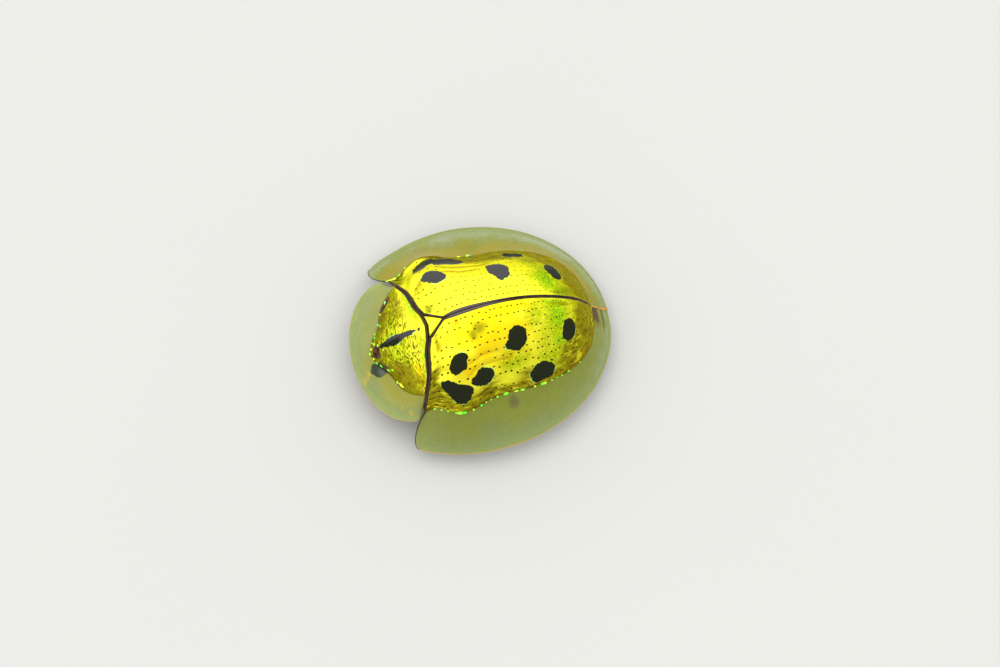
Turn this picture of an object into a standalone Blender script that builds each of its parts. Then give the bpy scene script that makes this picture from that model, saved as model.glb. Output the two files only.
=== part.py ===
"""A golden, black-spotted tortoise beetle at life size, standing still on its six feet.

The head points along -Y, the beetle's left side lies along +X and +Z is up. The origin is on the
floor, below the middle of the shell. Shapes are worked out in millimetres in the shell's own frame:
its zero is on the midline, level with the shell's rim, on the line that joins the front corners of
the wing cases, and Y runs back towards the tail. finish() moves them to the floor and to metres.
"""

from math import cos, exp, pi, sin

import bmesh
import bpy
from mathutils import Vector

MM = 0.001

# Driving sizes, in millimetres
RIM_HEIGHT = 0.6  # top of the shell's rim above the floor
SHELL_TOP = 2.86  # height of the back above the rim
RIM_HALF_WIDTH = 3.84  # widest place of the wing cases, from the midline
RIM_WIDEST = 2.7  # how far back that place is
RIM_FRONT_REACH = 4.6  # front half-length of the oval that the rim follows
TAIL = 7.16  # rear tip of the rim
SNOUT = -1.25  # front tip of the pronotum's rim
SHELL_BACK = -(TAIL + SNOUT) / 2  # puts the middle of the shell's length over the origin
GAP = 0.04  # clearance between touching pieces, kept small beside a shell this size
FLOOR = -RIM_HEIGHT

# Wing cases
SUTURE_HALF_GAP = 0.02
WALL_FOOT = 0.45  # level at which the side wall of the golden disc ends
DISC_CENTRE = Vector((0.0, 3.3, WALL_FOOT))  # the inside of a wing case is its outside shrunk to here
WING_CASE_INSIDE = 0.8
MARGIN_THICKNESS = 0.45
DISC_REAR = 6.56
DISC_HALF_WIDTH = 2.43
DISC_WAIST = 3.1
SCUTELLUM_HALF_WIDTH = 0.4
SCUTELLUM_TIP = 1.68
SEAM_BLEND = 0.3  # share of the disc's length over which the front seam's curve fades
SHOULDER_RISE = 0.13  # share of the disc's length over which it climbs from the front seam
MARGIN_HOLLOW = 1.3  # how the flat margin dishes: 1 is straight from disc to rim
CORNER_SHARE = 0.085  # share of the rim's length that runs along its front edge and round its corner
CORNER_REACH = 0.03  # share of the disc's edge that this stretch of rim lies beside
MARGIN_INSET = 0.045  # share of the margin's width left free beside the disc

# Pronotum
PRONOTUM_CENTRE = Vector((0.0, 1.1, 0.45))
PRONOTUM_INSIDE = 0.75
PRONOTUM_DISC_HALF_WIDTH = 1.92
PRONOTUM_HALF_WIDTH = 2.43
PRONOTUM_WIDEST = 0.3
PRONOTUM_MARGIN_THICKNESS = 0.28
PRONOTUM_MARGIN_INSET = 0.06
FRONT_ROLL = 0.26  # share of the pronotum's fall that lies in its rolled front edge

# Body below the shell
TRUNK_INSIDE = 0.77  # the trunk's back is the wing cases' outside shrunk by this
TRUNK_SIDE = 0.4  # level of the trunk's widest line
BELLY = FLOOR + 0.62  # underside of the thorax on the midline
BELLY_PLATES = 5
PLATE_STEP = 0.04
HEAD_CENTRE = Vector((0, -0.27, FLOOR + 0.68))
HEAD_SIZES = Vector((0.62, 0.46, 0.42))
EYE_CENTRE = Vector((0.475, -0.52, FLOOR + 0.85))
EYE_SIZES = Vector((0.19, 0.19, 0.17))
MOUTH_CENTRE = Vector((0, -0.46, FLOOR + 0.16))
MOUTH_SIZES = Vector((0.26, 0.18, 0.09))
ANTENNA_ROUTE = (
    (0.3, -0.66, FLOOR + 0.36), (0.52, -0.86, FLOOR + 0.37), (0.85, -0.82, FLOOR + 0.41),
    (1.3, -0.5, FLOOR + 0.44), (1.66, -0.14, FLOOR + 0.46),
)
ANTENNA_SEGMENTS = 11
ANTENNA_THICKNESS = 0.17  # half-thickness at the base

# Each left leg: its hip, knee, heel and toe, from the midline, from the front and above the floor
HIP_HEIGHT = 0.4
KNEE_HEIGHT = 0.56
HEEL_HEIGHT = 0.3
TOE_HEIGHT = 0.12
LEGS = {
    "front": ((0.46, 0.62), (1.34, 0.2), (1.66, 0.6), (1.78, 1.38)),
    "middle": ((0.66, 1.84), (1.94, 1.78), (1.98, 2.62), (2.2, 3.52)),
    "hind": ((0.6, 2.84), (1.6, 3.78), (1.78, 4.56), (1.44, 5.36)),
}
COXA_SIZES = Vector((0.27, 0.22, 0.2))
HIP_CLEARANCE = 0.3  # from the hip's middle to the start of the thigh
KNEE_CLEARANCE = 0.07
HEEL_CLEARANCE = 0.2

GOLD = (0.85, 0.72, 0.05)
CLEAR = (0.62, 0.66, 0.40)
AMBER = (0.42, 0.24, 0.07)
DARK = (0.05, 0.04, 0.03)


def smooth(knots, values):
    """A smooth function through the values at the knots, held flat beyond both ends."""

    def slope(i):
        if i == 0 or i == len(knots) - 1:
            j = min(max(i, 1), len(knots) - 1)
            return (values[j] - values[j - 1]) / (knots[j] - knots[j - 1])
        before = knots[i] - knots[i - 1]
        after = knots[i + 1] - knots[i]
        rise = (values[i] - values[i - 1]) / before
        next_rise = (values[i + 1] - values[i]) / after
        if isinstance(rise, float) and rise * next_rise <= 0:
            return 0.0
        return (rise * after + next_rise * before) / (before + after)

    def at(t):
        t = min(max(t, knots[0]), knots[-1])
        i = 0
        while i < len(knots) - 2 and knots[i + 1] < t:
            i += 1
        step = knots[i + 1] - knots[i]
        s = (t - knots[i]) / step
        start = values[i] * (2 * s**3 - 3 * s**2 + 1) + slope(i) * (step * (s**3 - 2 * s**2 + s))
        end = values[i + 1] * (3 * s**2 - 2 * s**3) + slope(i + 1) * (step * (s**3 - s**2))
        return start + end

    return at


def graph(*pairs):
    """A smooth height, width or exponent read by its first number."""
    return smooth([p[0] for p in pairs], [p[1] for p in pairs])


def through(*points):
    """A smooth curve through the points, read by the share of its length."""
    points = [Vector(p) for p in points]
    reach = [0.0]
    for a, b in zip(points, points[1:]):
        reach.append(reach[-1] + (b - a).length)
    return smooth([r / reach[-1] for r in reach], points)


def rounded(t, wide, far, power=2.0):
    """A quarter of a rounded outline: t runs from its widest place at 0 to its far end at 1."""
    turn = t * pi / 2
    return wide * cos(turn) ** (2 / power), far * sin(turn) ** (2 / power)


# The seam between the pronotum and the wing cases: how far back and how high it is at each width
seam_back = graph(
    (0.0, 1.17), (0.45, 1.09), (0.73, 0.98), (1.07, 0.91), (1.45, 0.84), (1.92, 0.62), (2.4, 0.4),
)
seam_height = graph(
    (0.0, 2.23), (0.45, 2.12), (0.73, 1.98), (1.07, 1.82), (1.45, 1.58), (1.92, 1.2), (2.4, 0.7),
)

# The line of the back from the front seam to the rear of the disc
back_height = graph(
    (1.1, 2.2), (1.68, 2.5), (2.05, 2.68), (2.5, 2.81), (3.1, SHELL_TOP), (3.75, 2.81),
    (4.37, 2.64), (4.99, 2.32), (5.61, 1.87), (6.08, 1.4), (DISC_REAR, 0.6),
)
disc_edge_height = graph((0.5, 0.74), (1.18, 1.06), (3.15, 1.02), (5.0, 0.86), (DISC_REAR, 0.56))

# The height of the rim round a wing case, from its seam end at 0 to the tail at 1
rim_level = graph(
    (0, 0.66), (0.035, 0.3), (0.075, -0.03), (0.13, -0.06), (0.4, 0.05), (0.75, 0.02), (1, -0.1),
)

# How broad-shouldered the disc is across, and how steep it stands, from front to rear
disc_breadth = graph((1.1, 3.6), (1.75, 4.2), (2.45, 3.0), (3.8, 2.2), (DISC_REAR, 2.0))
disc_steepness = graph((1.1, 1.8), (1.75, 2.0), (2.45, 1.25), (3.8, 1.1), (DISC_REAR, 1.05))


def disc_side():
    """The lower edge of the golden disc, from the front seam round to the tail."""
    points = [(2.3, 0.5), (2.31, 0.82), (2.52, 1.14), (2.73, 1.6), (2.7, 2.05), (2.53, 2.52)]
    for step in range(9):
        x, y = rounded(step / 8, DISC_HALF_WIDTH, DISC_REAR - DISC_WAIST, 2.5)
        points.append((x, DISC_WAIST + y))
    return through(*points)


def rim_side():
    """The rim of a wing case: along its front edge, round its corner and back to the tail."""
    points = [(2.37, 0.41), (2.64, 0.18), (2.92, 0.05), (3.13, 0.07), (3.26, 0.25)]
    for step in (1, 2, 3):
        turn = -0.56 + 0.14 * step
        points.append((RIM_HALF_WIDTH * cos(turn), RIM_WIDEST + RIM_FRONT_REACH * sin(turn)))
    for step in range(1, 11):
        x, y = rounded(step / 10, RIM_HALF_WIDTH, TAIL - RIM_WIDEST)
        points.append((x, RIM_WIDEST + y))
    return through(*points)


disc_edge = disc_side()
rim_edge = rim_side()
suture_line = through((SCUTELLUM_HALF_WIDTH, 1.12), (0.2, 1.4), (0.0, SCUTELLUM_TIP))


def suture(u):
    """The inner edge of a wing case: beside the scutellum, then straight back."""
    beside = 0.1
    if u < beside:
        return suture_line(u / beside)
    return Vector((0.0, SCUTELLUM_TIP + (DISC_REAR - SCUTELLUM_TIP) * (u - beside) / (1 - beside)))


def disc_point(u, v):
    """A point on the golden disc: u from the front seam to the tail, v from the suture to its edge."""
    inner = suture(u)
    outer = disc_edge(u)
    plan = inner.lerp(outer, v)
    chord = suture(0).lerp(disc_edge(0), v)
    plan.y += (seam_back(chord.x) + GAP / 2 - chord.y) * max(0.0, 1 - u / SEAM_BLEND) ** 2
    edge = disc_edge_height(outer.y)
    dome = (1 - v ** disc_breadth(inner.y)) ** disc_steepness(inner.y)
    height = edge + (back_height(inner.y) - edge) * dome
    climb = 1 - max(0.0, 1 - u / SHOULDER_RISE) ** 2
    height = seam_height(chord.x) * (1 - climb) + height * climb
    return Vector((plan.x, plan.y, height))


def margin_point(u, t):
    """A point on the flat margin: u from the front corner to the tail, t from the disc to the rim."""
    inner = disc_edge(u)
    along = (1 - CORNER_SHARE) * u + CORNER_SHARE * (1 - exp(-u / CORNER_REACH))
    plan = inner.lerp(rim_edge(along), t)
    low = rim_level(along)
    edge = disc_edge_height(inner.y)
    return Vector((plan.x, plan.y, low + (edge - low) * (1 - t) ** MARGIN_HOLLOW))


pronotum_front = through(
    (0.0, -0.7, 0.83), (0.45, -0.52, 0.8), (0.81, -0.26, 0.8), (1.4, 0.0, 0.84), (1.72, 0.28, 0.98),
    (PRONOTUM_DISC_HALF_WIDTH, 0.6, 1.2),
)


def pronotum_point(a, t):
    """A point on the golden pronotum: a from side to side, -1 to 1, t from the rear seam forward."""
    x = abs(a) * PRONOTUM_DISC_HALF_WIDTH
    rear = Vector((x, seam_back(x) - GAP / 2, seam_height(x)))
    front = pronotum_front(abs(a))
    point = rear.lerp(front, t)
    fall = (1 - FRONT_ROLL) * t + FRONT_ROLL * t**7
    point.z = rear.z + (front.z - rear.z) * fall
    if a < 0:
        point.x = -point.x
    return point


def pronotum_rim():
    """The rim of the pronotum from its front tip to the seam."""
    points = []
    for step in range(8):
        x, y = rounded(1 - step / 8, PRONOTUM_HALF_WIDTH, PRONOTUM_WIDEST - SNOUT)
        points.append((x, PRONOTUM_WIDEST - y))
    return through(*points, (2.42, 0.28), (2.38, 0.37), (2.3, 0.42))


pronotum_outline = pronotum_rim()


def pronotum_margin_point(a, t):
    """A point on the pronotum's clear margin: a from side to side, t from the disc to the rim."""
    inner = pronotum_front(abs(a))
    outer = pronotum_outline(abs(a))
    height = 0.29 + 0.27 * a * a
    point = Vector((*inner.xy.lerp(outer, t), height + (inner.z - height) * (1 - t) ** MARGIN_HOLLOW))
    if a < 0:
        point.x = -point.x
    return point


def sheet(columns, rows, place):
    """A grid whose point (u, v), each from 0 to 1, is put at place(u, v)."""
    bm = bmesh.new()
    bmesh.ops.create_grid(bm, x_segments=columns, y_segments=rows, size=0.5)
    for vert in bm.verts:
        vert.co = place(vert.co.x + 0.5, vert.co.y + 0.5)
    bmesh.ops.remove_doubles(bm, verts=bm.verts[:], dist=0.0005)
    return bm


def back_with(bm, inside):
    """Close a sheet into a solid with a second wall, each point of it at inside(point)."""
    made = bmesh.ops.extrude_face_region(bm, geom=bm.faces[:], use_keep_orig=True)
    for item in made["geom"]:
        if isinstance(item, bmesh.types.BMVert):
            item.co = inside(item.co.copy())


def shrunk(centre, share):
    """A rule that moves a point towards a centre."""
    return lambda point: centre + (point - centre) * share


def lowered(depth):
    """A rule that moves a point straight down."""
    return lambda point: point - Vector((0, 0, depth))


def flip(bm):
    """Turn a left piece into its right twin."""
    for vert in bm.verts:
        vert.co.x = -vert.co.x


def flatten(bm, place, away):
    """Cut a closed piece flat at a plane and keep the side that away points to."""
    geometry = bm.verts[:] + bm.edges[:] + bm.faces[:]
    cut = bmesh.ops.bisect_plane(
        bm, geom=geometry, dist=1e-5, plane_co=place, plane_no=away, clear_inner=True
    )
    edges = [item for item in cut["geom_cut"] if isinstance(item, bmesh.types.BMEdge)]
    bmesh.ops.holes_fill(bm, edges=edges, sides=0)


materials = {}


def material(name, colour, roughness, metallic):
    """A plain finish, made once for each name."""
    if name not in materials:
        made = bpy.data.materials.new(name)
        made.use_nodes = True
        shader = made.node_tree.nodes["Principled BSDF"]
        shader.inputs["Base Color"].default_value = (*colour, 1)
        shader.inputs["Roughness"].default_value = roughness
        shader.inputs["Metallic"].default_value = metallic
        made.diffuse_color = (*colour, 1)
        materials[name] = made
    return materials[name]


def finish(name, bm, looks):
    """Stand a worked-out shape on the floor in metres and make it a named object."""
    bmesh.ops.translate(bm, verts=bm.verts[:], vec=(0, SHELL_BACK, RIM_HEIGHT))
    bmesh.ops.scale(bm, verts=bm.verts[:], vec=(MM, MM, MM))
    bmesh.ops.recalc_face_normals(bm, faces=bm.faces[:])
    if bm.calc_volume(signed=True) < 0:
        bmesh.ops.reverse_faces(bm, faces=bm.faces[:])
    mesh = bpy.data.meshes.new(name)
    bm.to_mesh(mesh)
    bm.free()
    mesh.shade_smooth()
    mesh.set_sharp_from_angle(angle=0.7)
    piece = bpy.data.objects.new(name, mesh)
    piece.parent = beetle
    mesh.materials.append(material(*looks))
    bpy.context.scene.collection.objects.link(piece)


GOLDEN = ("golden shell", GOLD, 0.22, 0.9)
GLASSY = ("clear margin", CLEAR, 0.15, 0.0)
BODY = ("amber underside", AMBER, 0.35, 0.0)
LIMB = ("leg and feeler", AMBER, 0.35, 0.0)
EYE = ("eye", DARK, 0.15, 0.0)


def wing_case_disc():
    """The left golden disc: a dome with a low side wall, hollow below."""
    columns = 20
    across = 9

    def place(u, v):
        row = v * (across + 1)
        along = 0.5 * (u + sin(u * pi / 2))
        point = disc_point(along, min(row / across, 1.0))
        if row > across + 0.5:
            point.z = WALL_FOOT
        point.x = max(point.x, 0.0)
        return point

    bm = sheet(columns, across + 1, place)
    back_with(bm, shrunk(DISC_CENTRE, WING_CASE_INSIDE))
    bmesh.ops.translate(bm, verts=bm.verts[:], vec=(SUTURE_HALF_GAP, 0, 0))
    return bm


def wing_case_margin():
    """The left clear margin, from the disc's edge down to the rim."""

    def place(u, t):
        point = margin_point(u, MARGIN_INSET + (1 - MARGIN_INSET) * t)
        point.x = max(point.x, 0.0)
        return point

    bm = sheet(26, 4, place)
    back_with(bm, lowered(MARGIN_THICKNESS))
    bmesh.ops.translate(bm, verts=bm.verts[:], vec=(SUTURE_HALF_GAP, 0, 0))
    return bm


def scutellum():
    """The small golden triangle between the wing cases' front ends."""

    def place(u, v):
        width = SCUTELLUM_HALF_WIDTH - 0.045
        x = width * (2 * u - 1) * (1 - v)
        y = seam_back(abs(x)) + GAP / 2 + v * (SCUTELLUM_TIP - 0.08 - seam_back(abs(x)))
        return Vector((x, y, seam_height(abs(x)) + v * 0.27))

    bm = sheet(6, 4, place)
    back_with(bm, shrunk(DISC_CENTRE, 0.88))
    return bm


def pronotum_disc():
    """The golden plate behind the head, domed and hollow below."""
    bm = sheet(20, 8, lambda u, v: pronotum_point(2 * u - 1, v))
    back_with(bm, shrunk(PRONOTUM_CENTRE, PRONOTUM_INSIDE))
    return bm


def pronotum_margin():
    """The clear margin in one piece round the front of the pronotum."""

    def place(u, v):
        return pronotum_margin_point(2 * u - 1, PRONOTUM_MARGIN_INSET + (1 - PRONOTUM_MARGIN_INSET) * v)

    bm = sheet(32, 4, place)
    back_with(bm, lowered(PRONOTUM_MARGIN_THICKNESS))
    return bm


def lump(centre, sizes, columns=16, rows=8, shape=None):
    """A closed rounded body with half-sizes along X, Y and Z; shape may change each point."""
    centre = Vector(centre)

    def place(u, v):
        turn = 2 * pi * u
        lean = pi * (v - 0.5)
        point = Vector((cos(turn) * cos(lean), sin(turn) * cos(lean), sin(lean)))
        point = centre + Vector(p * s for p, s in zip(point, sizes))
        return shape(point) if shape else point

    return sheet(columns, rows, place)


def limb(start, end, thickness, sides=8, body=4, flat=1.0):
    """A closed rod with round ends between two points; its half-thickness is read along its length."""
    start = Vector(start)
    end = Vector(end)
    length = (end - start).length
    along = (end - start) / length
    across = along.cross(Vector((0, 0, 1))).normalized()
    above = across.cross(along)
    cap = 2
    rows = 2 * cap + body

    def place(u, v):
        row = round(v * rows)
        if row < cap:
            lean = row / cap * pi / 2
            reach = thickness(0) * (1 - cos(lean))
            radius = thickness(0) * sin(lean)
        elif row > rows - cap:
            lean = (rows - row) / cap * pi / 2
            reach = length - thickness(1) * (1 - cos(lean))
            radius = thickness(1) * sin(lean)
        else:
            share = (row - cap) / body
            reach = thickness(0) + share * (length - thickness(0) - thickness(1))
            radius = thickness(share)
        turn = 2 * pi * u
        side = across * (radius * cos(turn)) + above * (radius * flat * sin(turn))
        return start + along * reach + side

    return sheet(sides, rows, place)


def trunk_top(x, y):
    """The highest that the body may reach below the wing cases, at a place seen from above."""
    u = min(max((y - DISC_CENTRE.y) / TRUNK_INSIDE + DISC_CENTRE.y, SCUTELLUM_TIP), DISC_REAR - 0.1)
    share = (u - SCUTELLUM_TIP) / (DISC_REAR - SCUTELLUM_TIP)
    v = min(abs(x) / TRUNK_INSIDE / disc_edge(0.1 + 0.9 * share).x, 1.0)
    height = disc_point(0.1 + 0.9 * share, v).z
    return DISC_CENTRE.z + TRUNK_INSIDE * (height - DISC_CENTRE.z) - GAP


def trunk(start, end, half_width, belly, top, rings, sides=20):
    """A length of the body between two flat ends, with its width, belly and top read along it."""

    def place(u, v):
        turn = 2 * pi * u
        row = v * (rings + 2)
        share = min(max((row - 1) / rings, 0.0), 1.0)
        y = start + (end - start) * share
        x = half_width(share) * cos(turn)
        up = sin(turn)
        if up >= 0:
            z = TRUNK_SIDE + (top(x, y) - TRUNK_SIDE) * up**0.6
        else:
            z = TRUNK_SIDE + (TRUNK_SIDE - belly(share)) * up
        if row < 0.5 or row > rings + 1.5:
            return Vector((0, y, TRUNK_SIDE))
        return Vector((x, y, z))

    return sheet(sides, rings + 2, place)


def metathorax():
    """The broad rear of the thorax, which carries the middle and hind legs."""
    width = graph((0, 1.5), (0.3, 1.84), (1, 1.86))
    return trunk(1.66, 3.1, width, lambda share: BELLY, trunk_top, 5)


def abdomen():
    """The belly, in plates that step down from one to the next, tapering to the tail."""
    width = graph((0, 1.86), (0.4, 1.84), (0.7, 1.6), (0.9, 1.1), (1, 0.55))

    def belly(share):
        plate = (share * BELLY_PLATES) % 1
        return BELLY - 1.5 * PLATE_STEP + PLATE_STEP * plate + 0.2 * share**4

    return trunk(3.14, 5.76, width, belly, trunk_top, 2 * BELLY_PLATES)


def mesothorax():
    """The narrow middle of the thorax, between the two shells."""
    width = graph((0, 1.0), (0.5, 1.3), (1, 1.35))

    def top(x, y):
        return 1.5 - 0.4 * x * x

    return trunk(1.22, 1.62, width, lambda share: BELLY, top, 2)


def prothorax():
    """The front of the thorax, below the pronotum."""
    width = graph((0, 0.7), (0.5, 1.05), (1, 1.1))

    def top(x, y):
        return 0.9 - 0.3 * x * x + 0.5 * y

    return trunk(0.24, 1.18, width, lambda share: BELLY, top, 4)


def head():
    """The head, tucked under the pronotum with its face forward and down."""
    return lump(HEAD_CENTRE, HEAD_SIZES)


def eye():
    """The left eye: a rounded cap that sits flat against the side of the head."""
    away = EYE_CENTRE - HEAD_CENTRE
    reach = Vector(a / b for a, b in zip(away, HEAD_SIZES)).length
    outward = Vector(a / b**2 for a, b in zip(away, HEAD_SIZES)).normalized()
    bm = lump(EYE_CENTRE, EYE_SIZES, 16, 10)
    flatten(bm, HEAD_CENTRE + away / reach + outward * GAP, outward)
    return bm


def mouthparts():
    """Lip and jaws, a small block below the face."""
    return lump(MOUTH_CENTRE, MOUTH_SIZES, 10, 6)


def antenna():
    """The left antenna: a row of segments, laid outward below the pronotum's margin."""
    route = through(*ANTENNA_ROUTE)

    def place(u, v):
        turn = 2 * pi * u
        middle = route(v)
        along = (route(v + 0.02) - route(v - 0.02)).normalized()
        across = along.cross(Vector((0, 0, 1))).normalized()
        above = across.cross(along)
        bead = abs(sin(pi * v * ANTENNA_SEGMENTS))
        end = min(1.0, 12 * v, 12 * (1 - v))
        radius = (ANTENNA_THICKNESS + 0.05 * v + 0.02 * bead) * end
        return middle + across * (radius * cos(turn)) + above * (radius * sin(turn))

    return sheet(8, 2 * ANTENNA_SEGMENTS, place)


def leg(which):
    """The four pieces of a left leg, each by name."""
    heights = (HIP_HEIGHT, KNEE_HEIGHT, HEEL_HEIGHT, TOE_HEIGHT)
    hip, knee, heel, toe = [Vector((x, y, FLOOR + z)) for (x, y), z in zip(LEGS[which], heights)]
    out = (knee - hip).normalized()
    down = (heel - knee).normalized()
    back = (toe - heel).normalized()
    rod = graph((0, 0.16), (0.4, 0.25), (0.75, 0.23), (1, 0.15))
    shin = graph((0, 0.14), (0.5, 0.19), (1, 0.17))
    foot = graph((0, 0.15), (0.25, 0.22), (0.5, 0.27), (0.7, 0.25), (1, 0.1))
    coxa = lump(hip, COXA_SIZES, 10, 5)
    femur = limb(hip + out * HIP_CLEARANCE, knee, rod)
    tibia = limb(knee + down * KNEE_CLEARANCE, heel, shin, body=3)
    start = heel + back * HEEL_CLEARANCE
    start.z = FLOOR + TOE_HEIGHT + GAP
    tarsus = limb(start, toe, foot, body=7, flat=0.72)
    flatten(tarsus, (0, 0, FLOOR), (0, 0, 1))
    return {"coxa": coxa, "femur": femur, "tibia": tibia, "tarsus": tarsus}


def both_sides(name, make, looks):
    """Make a piece and its mirror twin."""
    for side in ("left", "right"):
        bm = make()
        if side == "right":
            flip(bm)
        finish(f"{name}_{side}", bm, looks)


for old in list(bpy.data.objects):
    bpy.data.objects.remove(old, do_unlink=True)

beetle = bpy.data.objects.new("beetle", None)
bpy.context.scene.collection.objects.link(beetle)

both_sides("elytron", wing_case_disc, GOLDEN)
both_sides("elytron_margin", wing_case_margin, GLASSY)
finish("scutellum", scutellum(), GOLDEN)
finish("pronotum", pronotum_disc(), GOLDEN)
finish("pronotum_margin", pronotum_margin(), GLASSY)
finish("head", head(), BODY)
both_sides("eye", eye, EYE)
finish("mouthparts", mouthparts(), BODY)
both_sides("antenna", antenna, LIMB)
finish("prothorax", prothorax(), BODY)
finish("mesothorax", mesothorax(), BODY)
finish("metathorax", metathorax(), BODY)
finish("abdomen", abdomen(), BODY)
for pair in LEGS:
    for part in ("coxa", "femur", "tibia", "tarsus"):
        both_sides(f"leg_{pair}_{part}", lambda: leg(pair)[part], LIMB)
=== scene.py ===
"""A golden, black-spotted tortoise beetle: the fine forms and finishes over its life-size frame.

The head points along -Y, the beetle's left side lies along +X and +Z is up. Shapes are worked out in
millimetres in the shell's own frame, whose zero is on the midline, level with the shell's rim, on the
line that joins the front corners of the wing cases; stand() moves them to the floor and to metres.
"""

import random
from functools import cache, cached_property
from math import atan2, cos, exp, hypot, pi, sin

import bmesh
import bpy
from mathutils import Matrix, Vector, noise


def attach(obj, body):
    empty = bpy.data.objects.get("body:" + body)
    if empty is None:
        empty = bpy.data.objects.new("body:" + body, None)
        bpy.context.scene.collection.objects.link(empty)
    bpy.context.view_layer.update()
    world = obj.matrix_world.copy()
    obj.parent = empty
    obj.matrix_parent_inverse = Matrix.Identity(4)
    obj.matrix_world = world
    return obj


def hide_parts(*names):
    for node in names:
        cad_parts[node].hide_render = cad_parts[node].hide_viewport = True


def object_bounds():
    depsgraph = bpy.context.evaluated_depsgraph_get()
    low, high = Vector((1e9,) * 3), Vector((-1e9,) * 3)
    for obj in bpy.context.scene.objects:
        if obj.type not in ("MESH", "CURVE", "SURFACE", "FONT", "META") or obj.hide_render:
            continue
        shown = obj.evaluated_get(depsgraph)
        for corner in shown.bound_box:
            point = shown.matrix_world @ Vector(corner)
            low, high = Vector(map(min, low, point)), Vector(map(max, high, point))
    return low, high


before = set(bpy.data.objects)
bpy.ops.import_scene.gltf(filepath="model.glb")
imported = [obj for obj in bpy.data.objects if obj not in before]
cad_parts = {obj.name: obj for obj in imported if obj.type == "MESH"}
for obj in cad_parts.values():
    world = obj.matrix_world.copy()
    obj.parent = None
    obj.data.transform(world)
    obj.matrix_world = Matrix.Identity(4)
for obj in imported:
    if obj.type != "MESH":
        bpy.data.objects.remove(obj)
cad_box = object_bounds()

bl_info = {
    "name": "Tortoise Beetle",
    "version": (1, 0, 0),
    "blender": (4, 5, 0),
    "location": "View3D > Sidebar > Beetle",
    "description": "Builds a golden tortoise beetle at life size",
    "category": "Object",
}

MM = 0.001
BODY = "root"

# Points of a piece that are closer than this, in millimetres, become one
MERGE = 0.0004

# How the shell stands in the frame, in millimetres, and where its tail is from the frame's length
RIM_HEIGHT = 0.6
SHELL_BACK = -2.955
TAIL = (cad_box[1].y - cad_box[0].y) / MM / 2 - SHELL_BACK
FLOOR = -RIM_HEIGHT

# Wing cases
SHELL_TOP = 2.86
RIM_HALF_WIDTH = 3.84
RIM_WIDEST = 2.7
RIM_FRONT_REACH = 4.6
WALL_FOOT = 0.45
WALL_DROP = 6.0
DISC_CENTRE = Vector((0.0, 3.3, WALL_FOOT))
DISC_REAR = 6.56
DISC_HALF_WIDTH = 2.43
DISC_WAIST = 3.1
SCUTELLUM_HALF_WIDTH = 0.4
SCUTELLUM_TIP = 1.68
BESIDE_SCUTELLUM = 0.1
SEAM_HALF_GAP = 0.02
MIDLINE_GAP = 0.006
SEAM_BLEND = 0.3
SHOULDER_RISE = 0.13
MARGIN_HOLLOW = 1.3
CORNER_SHARE = 0.085
CORNER_REACH = 0.03
MARGIN_TUCK = 0.03
MARGIN_THINNING = 0.3
BEAD_TAPER = 90

# Pronotum
SNOUT = -1.25
PRONOTUM_CENTRE = Vector((0.0, 1.1, 0.45))
PRONOTUM_DISC_HALF_WIDTH = 1.92
PRONOTUM_HALF_WIDTH = 2.43
PRONOTUM_WIDEST = 0.3
PRONOTUM_RIM_HEIGHT = 0.29
PRONOTUM_RIM_RISE = 0.27
FRONT_ROLL = 0.26

# Body below the shell
TRUNK_INSIDE = 0.77
TRUNK_SIDE = 0.4
BELLY = FLOOR + 0.62
BELLY_PLATES = 5
PROTHORAX_ENDS = (0.24, 1.18)
MESOTHORAX_ENDS = (1.22, 1.62)
METATHORAX_ENDS = (1.66, 3.1)
ABDOMEN_ENDS = (3.14, 5.76)
HEAD_CENTRE = Vector((0, -0.27, FLOOR + 0.68))
HEAD_SIZES = Vector((0.62, 0.46, 0.42))
EYE_CENTRE = Vector((0.475, -0.52, FLOOR + 0.85))
EYE_SIZES = Vector((0.19, 0.19, 0.17))
MOUTH_CENTRE = Vector((0, -0.46, FLOOR + 0.16))

# Routes of the left feeler, jaw and palp: across, back and height above the floor
ANTENNA_ROUTE = (
    (0.26, -0.68, 0.4), (0.52, -0.86, 0.37), (0.85, -0.82, 0.41), (1.3, -0.5, 0.44), (1.66, -0.14, 0.46),
)
ANTENNA_SEGMENTS = (0.16, 0.07, 0.085, 0.085, 0.085, 0.08, 0.085, 0.085, 0.085, 0.085, 0.115)
JAW_ROUTE = ((0.2, -0.46, 0.18), (0.17, -0.58, 0.14), (0.04, -0.63, 0.12))
PALP_ROUTE = ((0.14, -0.4, 0.14), (0.24, -0.52, 0.1), (0.2, -0.64, 0.1))

# Legs: where the left hips, knees, heels and toes are across and back, and how high each is
HIP_HEIGHT = 0.4
KNEE_HEIGHT = 0.56
HEEL_HEIGHT = 0.3
TOE_HEIGHT = 0.12
LEGS = {
    "front": ((0.46, 0.62), (1.34, 0.2), (1.66, 0.6), (1.78, 1.38)),
    "middle": ((0.66, 1.84), (1.94, 1.78), (1.98, 2.62), (2.2, 3.52)),
    "hind": ((0.6, 2.84), (1.6, 3.78), (1.78, 4.56), (1.44, 5.36)),
}

# Each side, and which way it lies from the midline
SIDES = {"left": 1, "right": -1}

# The view of the photograph: its middle, the way to the camera and the way that is up in it
LOOK_AT = Vector((0.006, 0.649, 0.6)) * MM
TO_CAMERA = Vector((0.35, -0.1203, 0.929))
PICTURE_UP = Vector((-0.9009, 0.2285, 0.369))
PICTURE_WIDTH = 31.88 * MM

# The way to the brightest part of the surroundings, their tone and their least and most strength
BRIGHT_SIDE = Vector((-0.75, -0.1, 0.65))
SKY_TONE = (1.0, 1.0, 0.99)
SKY_STRENGTHS = (0.82, 1.42)

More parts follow.
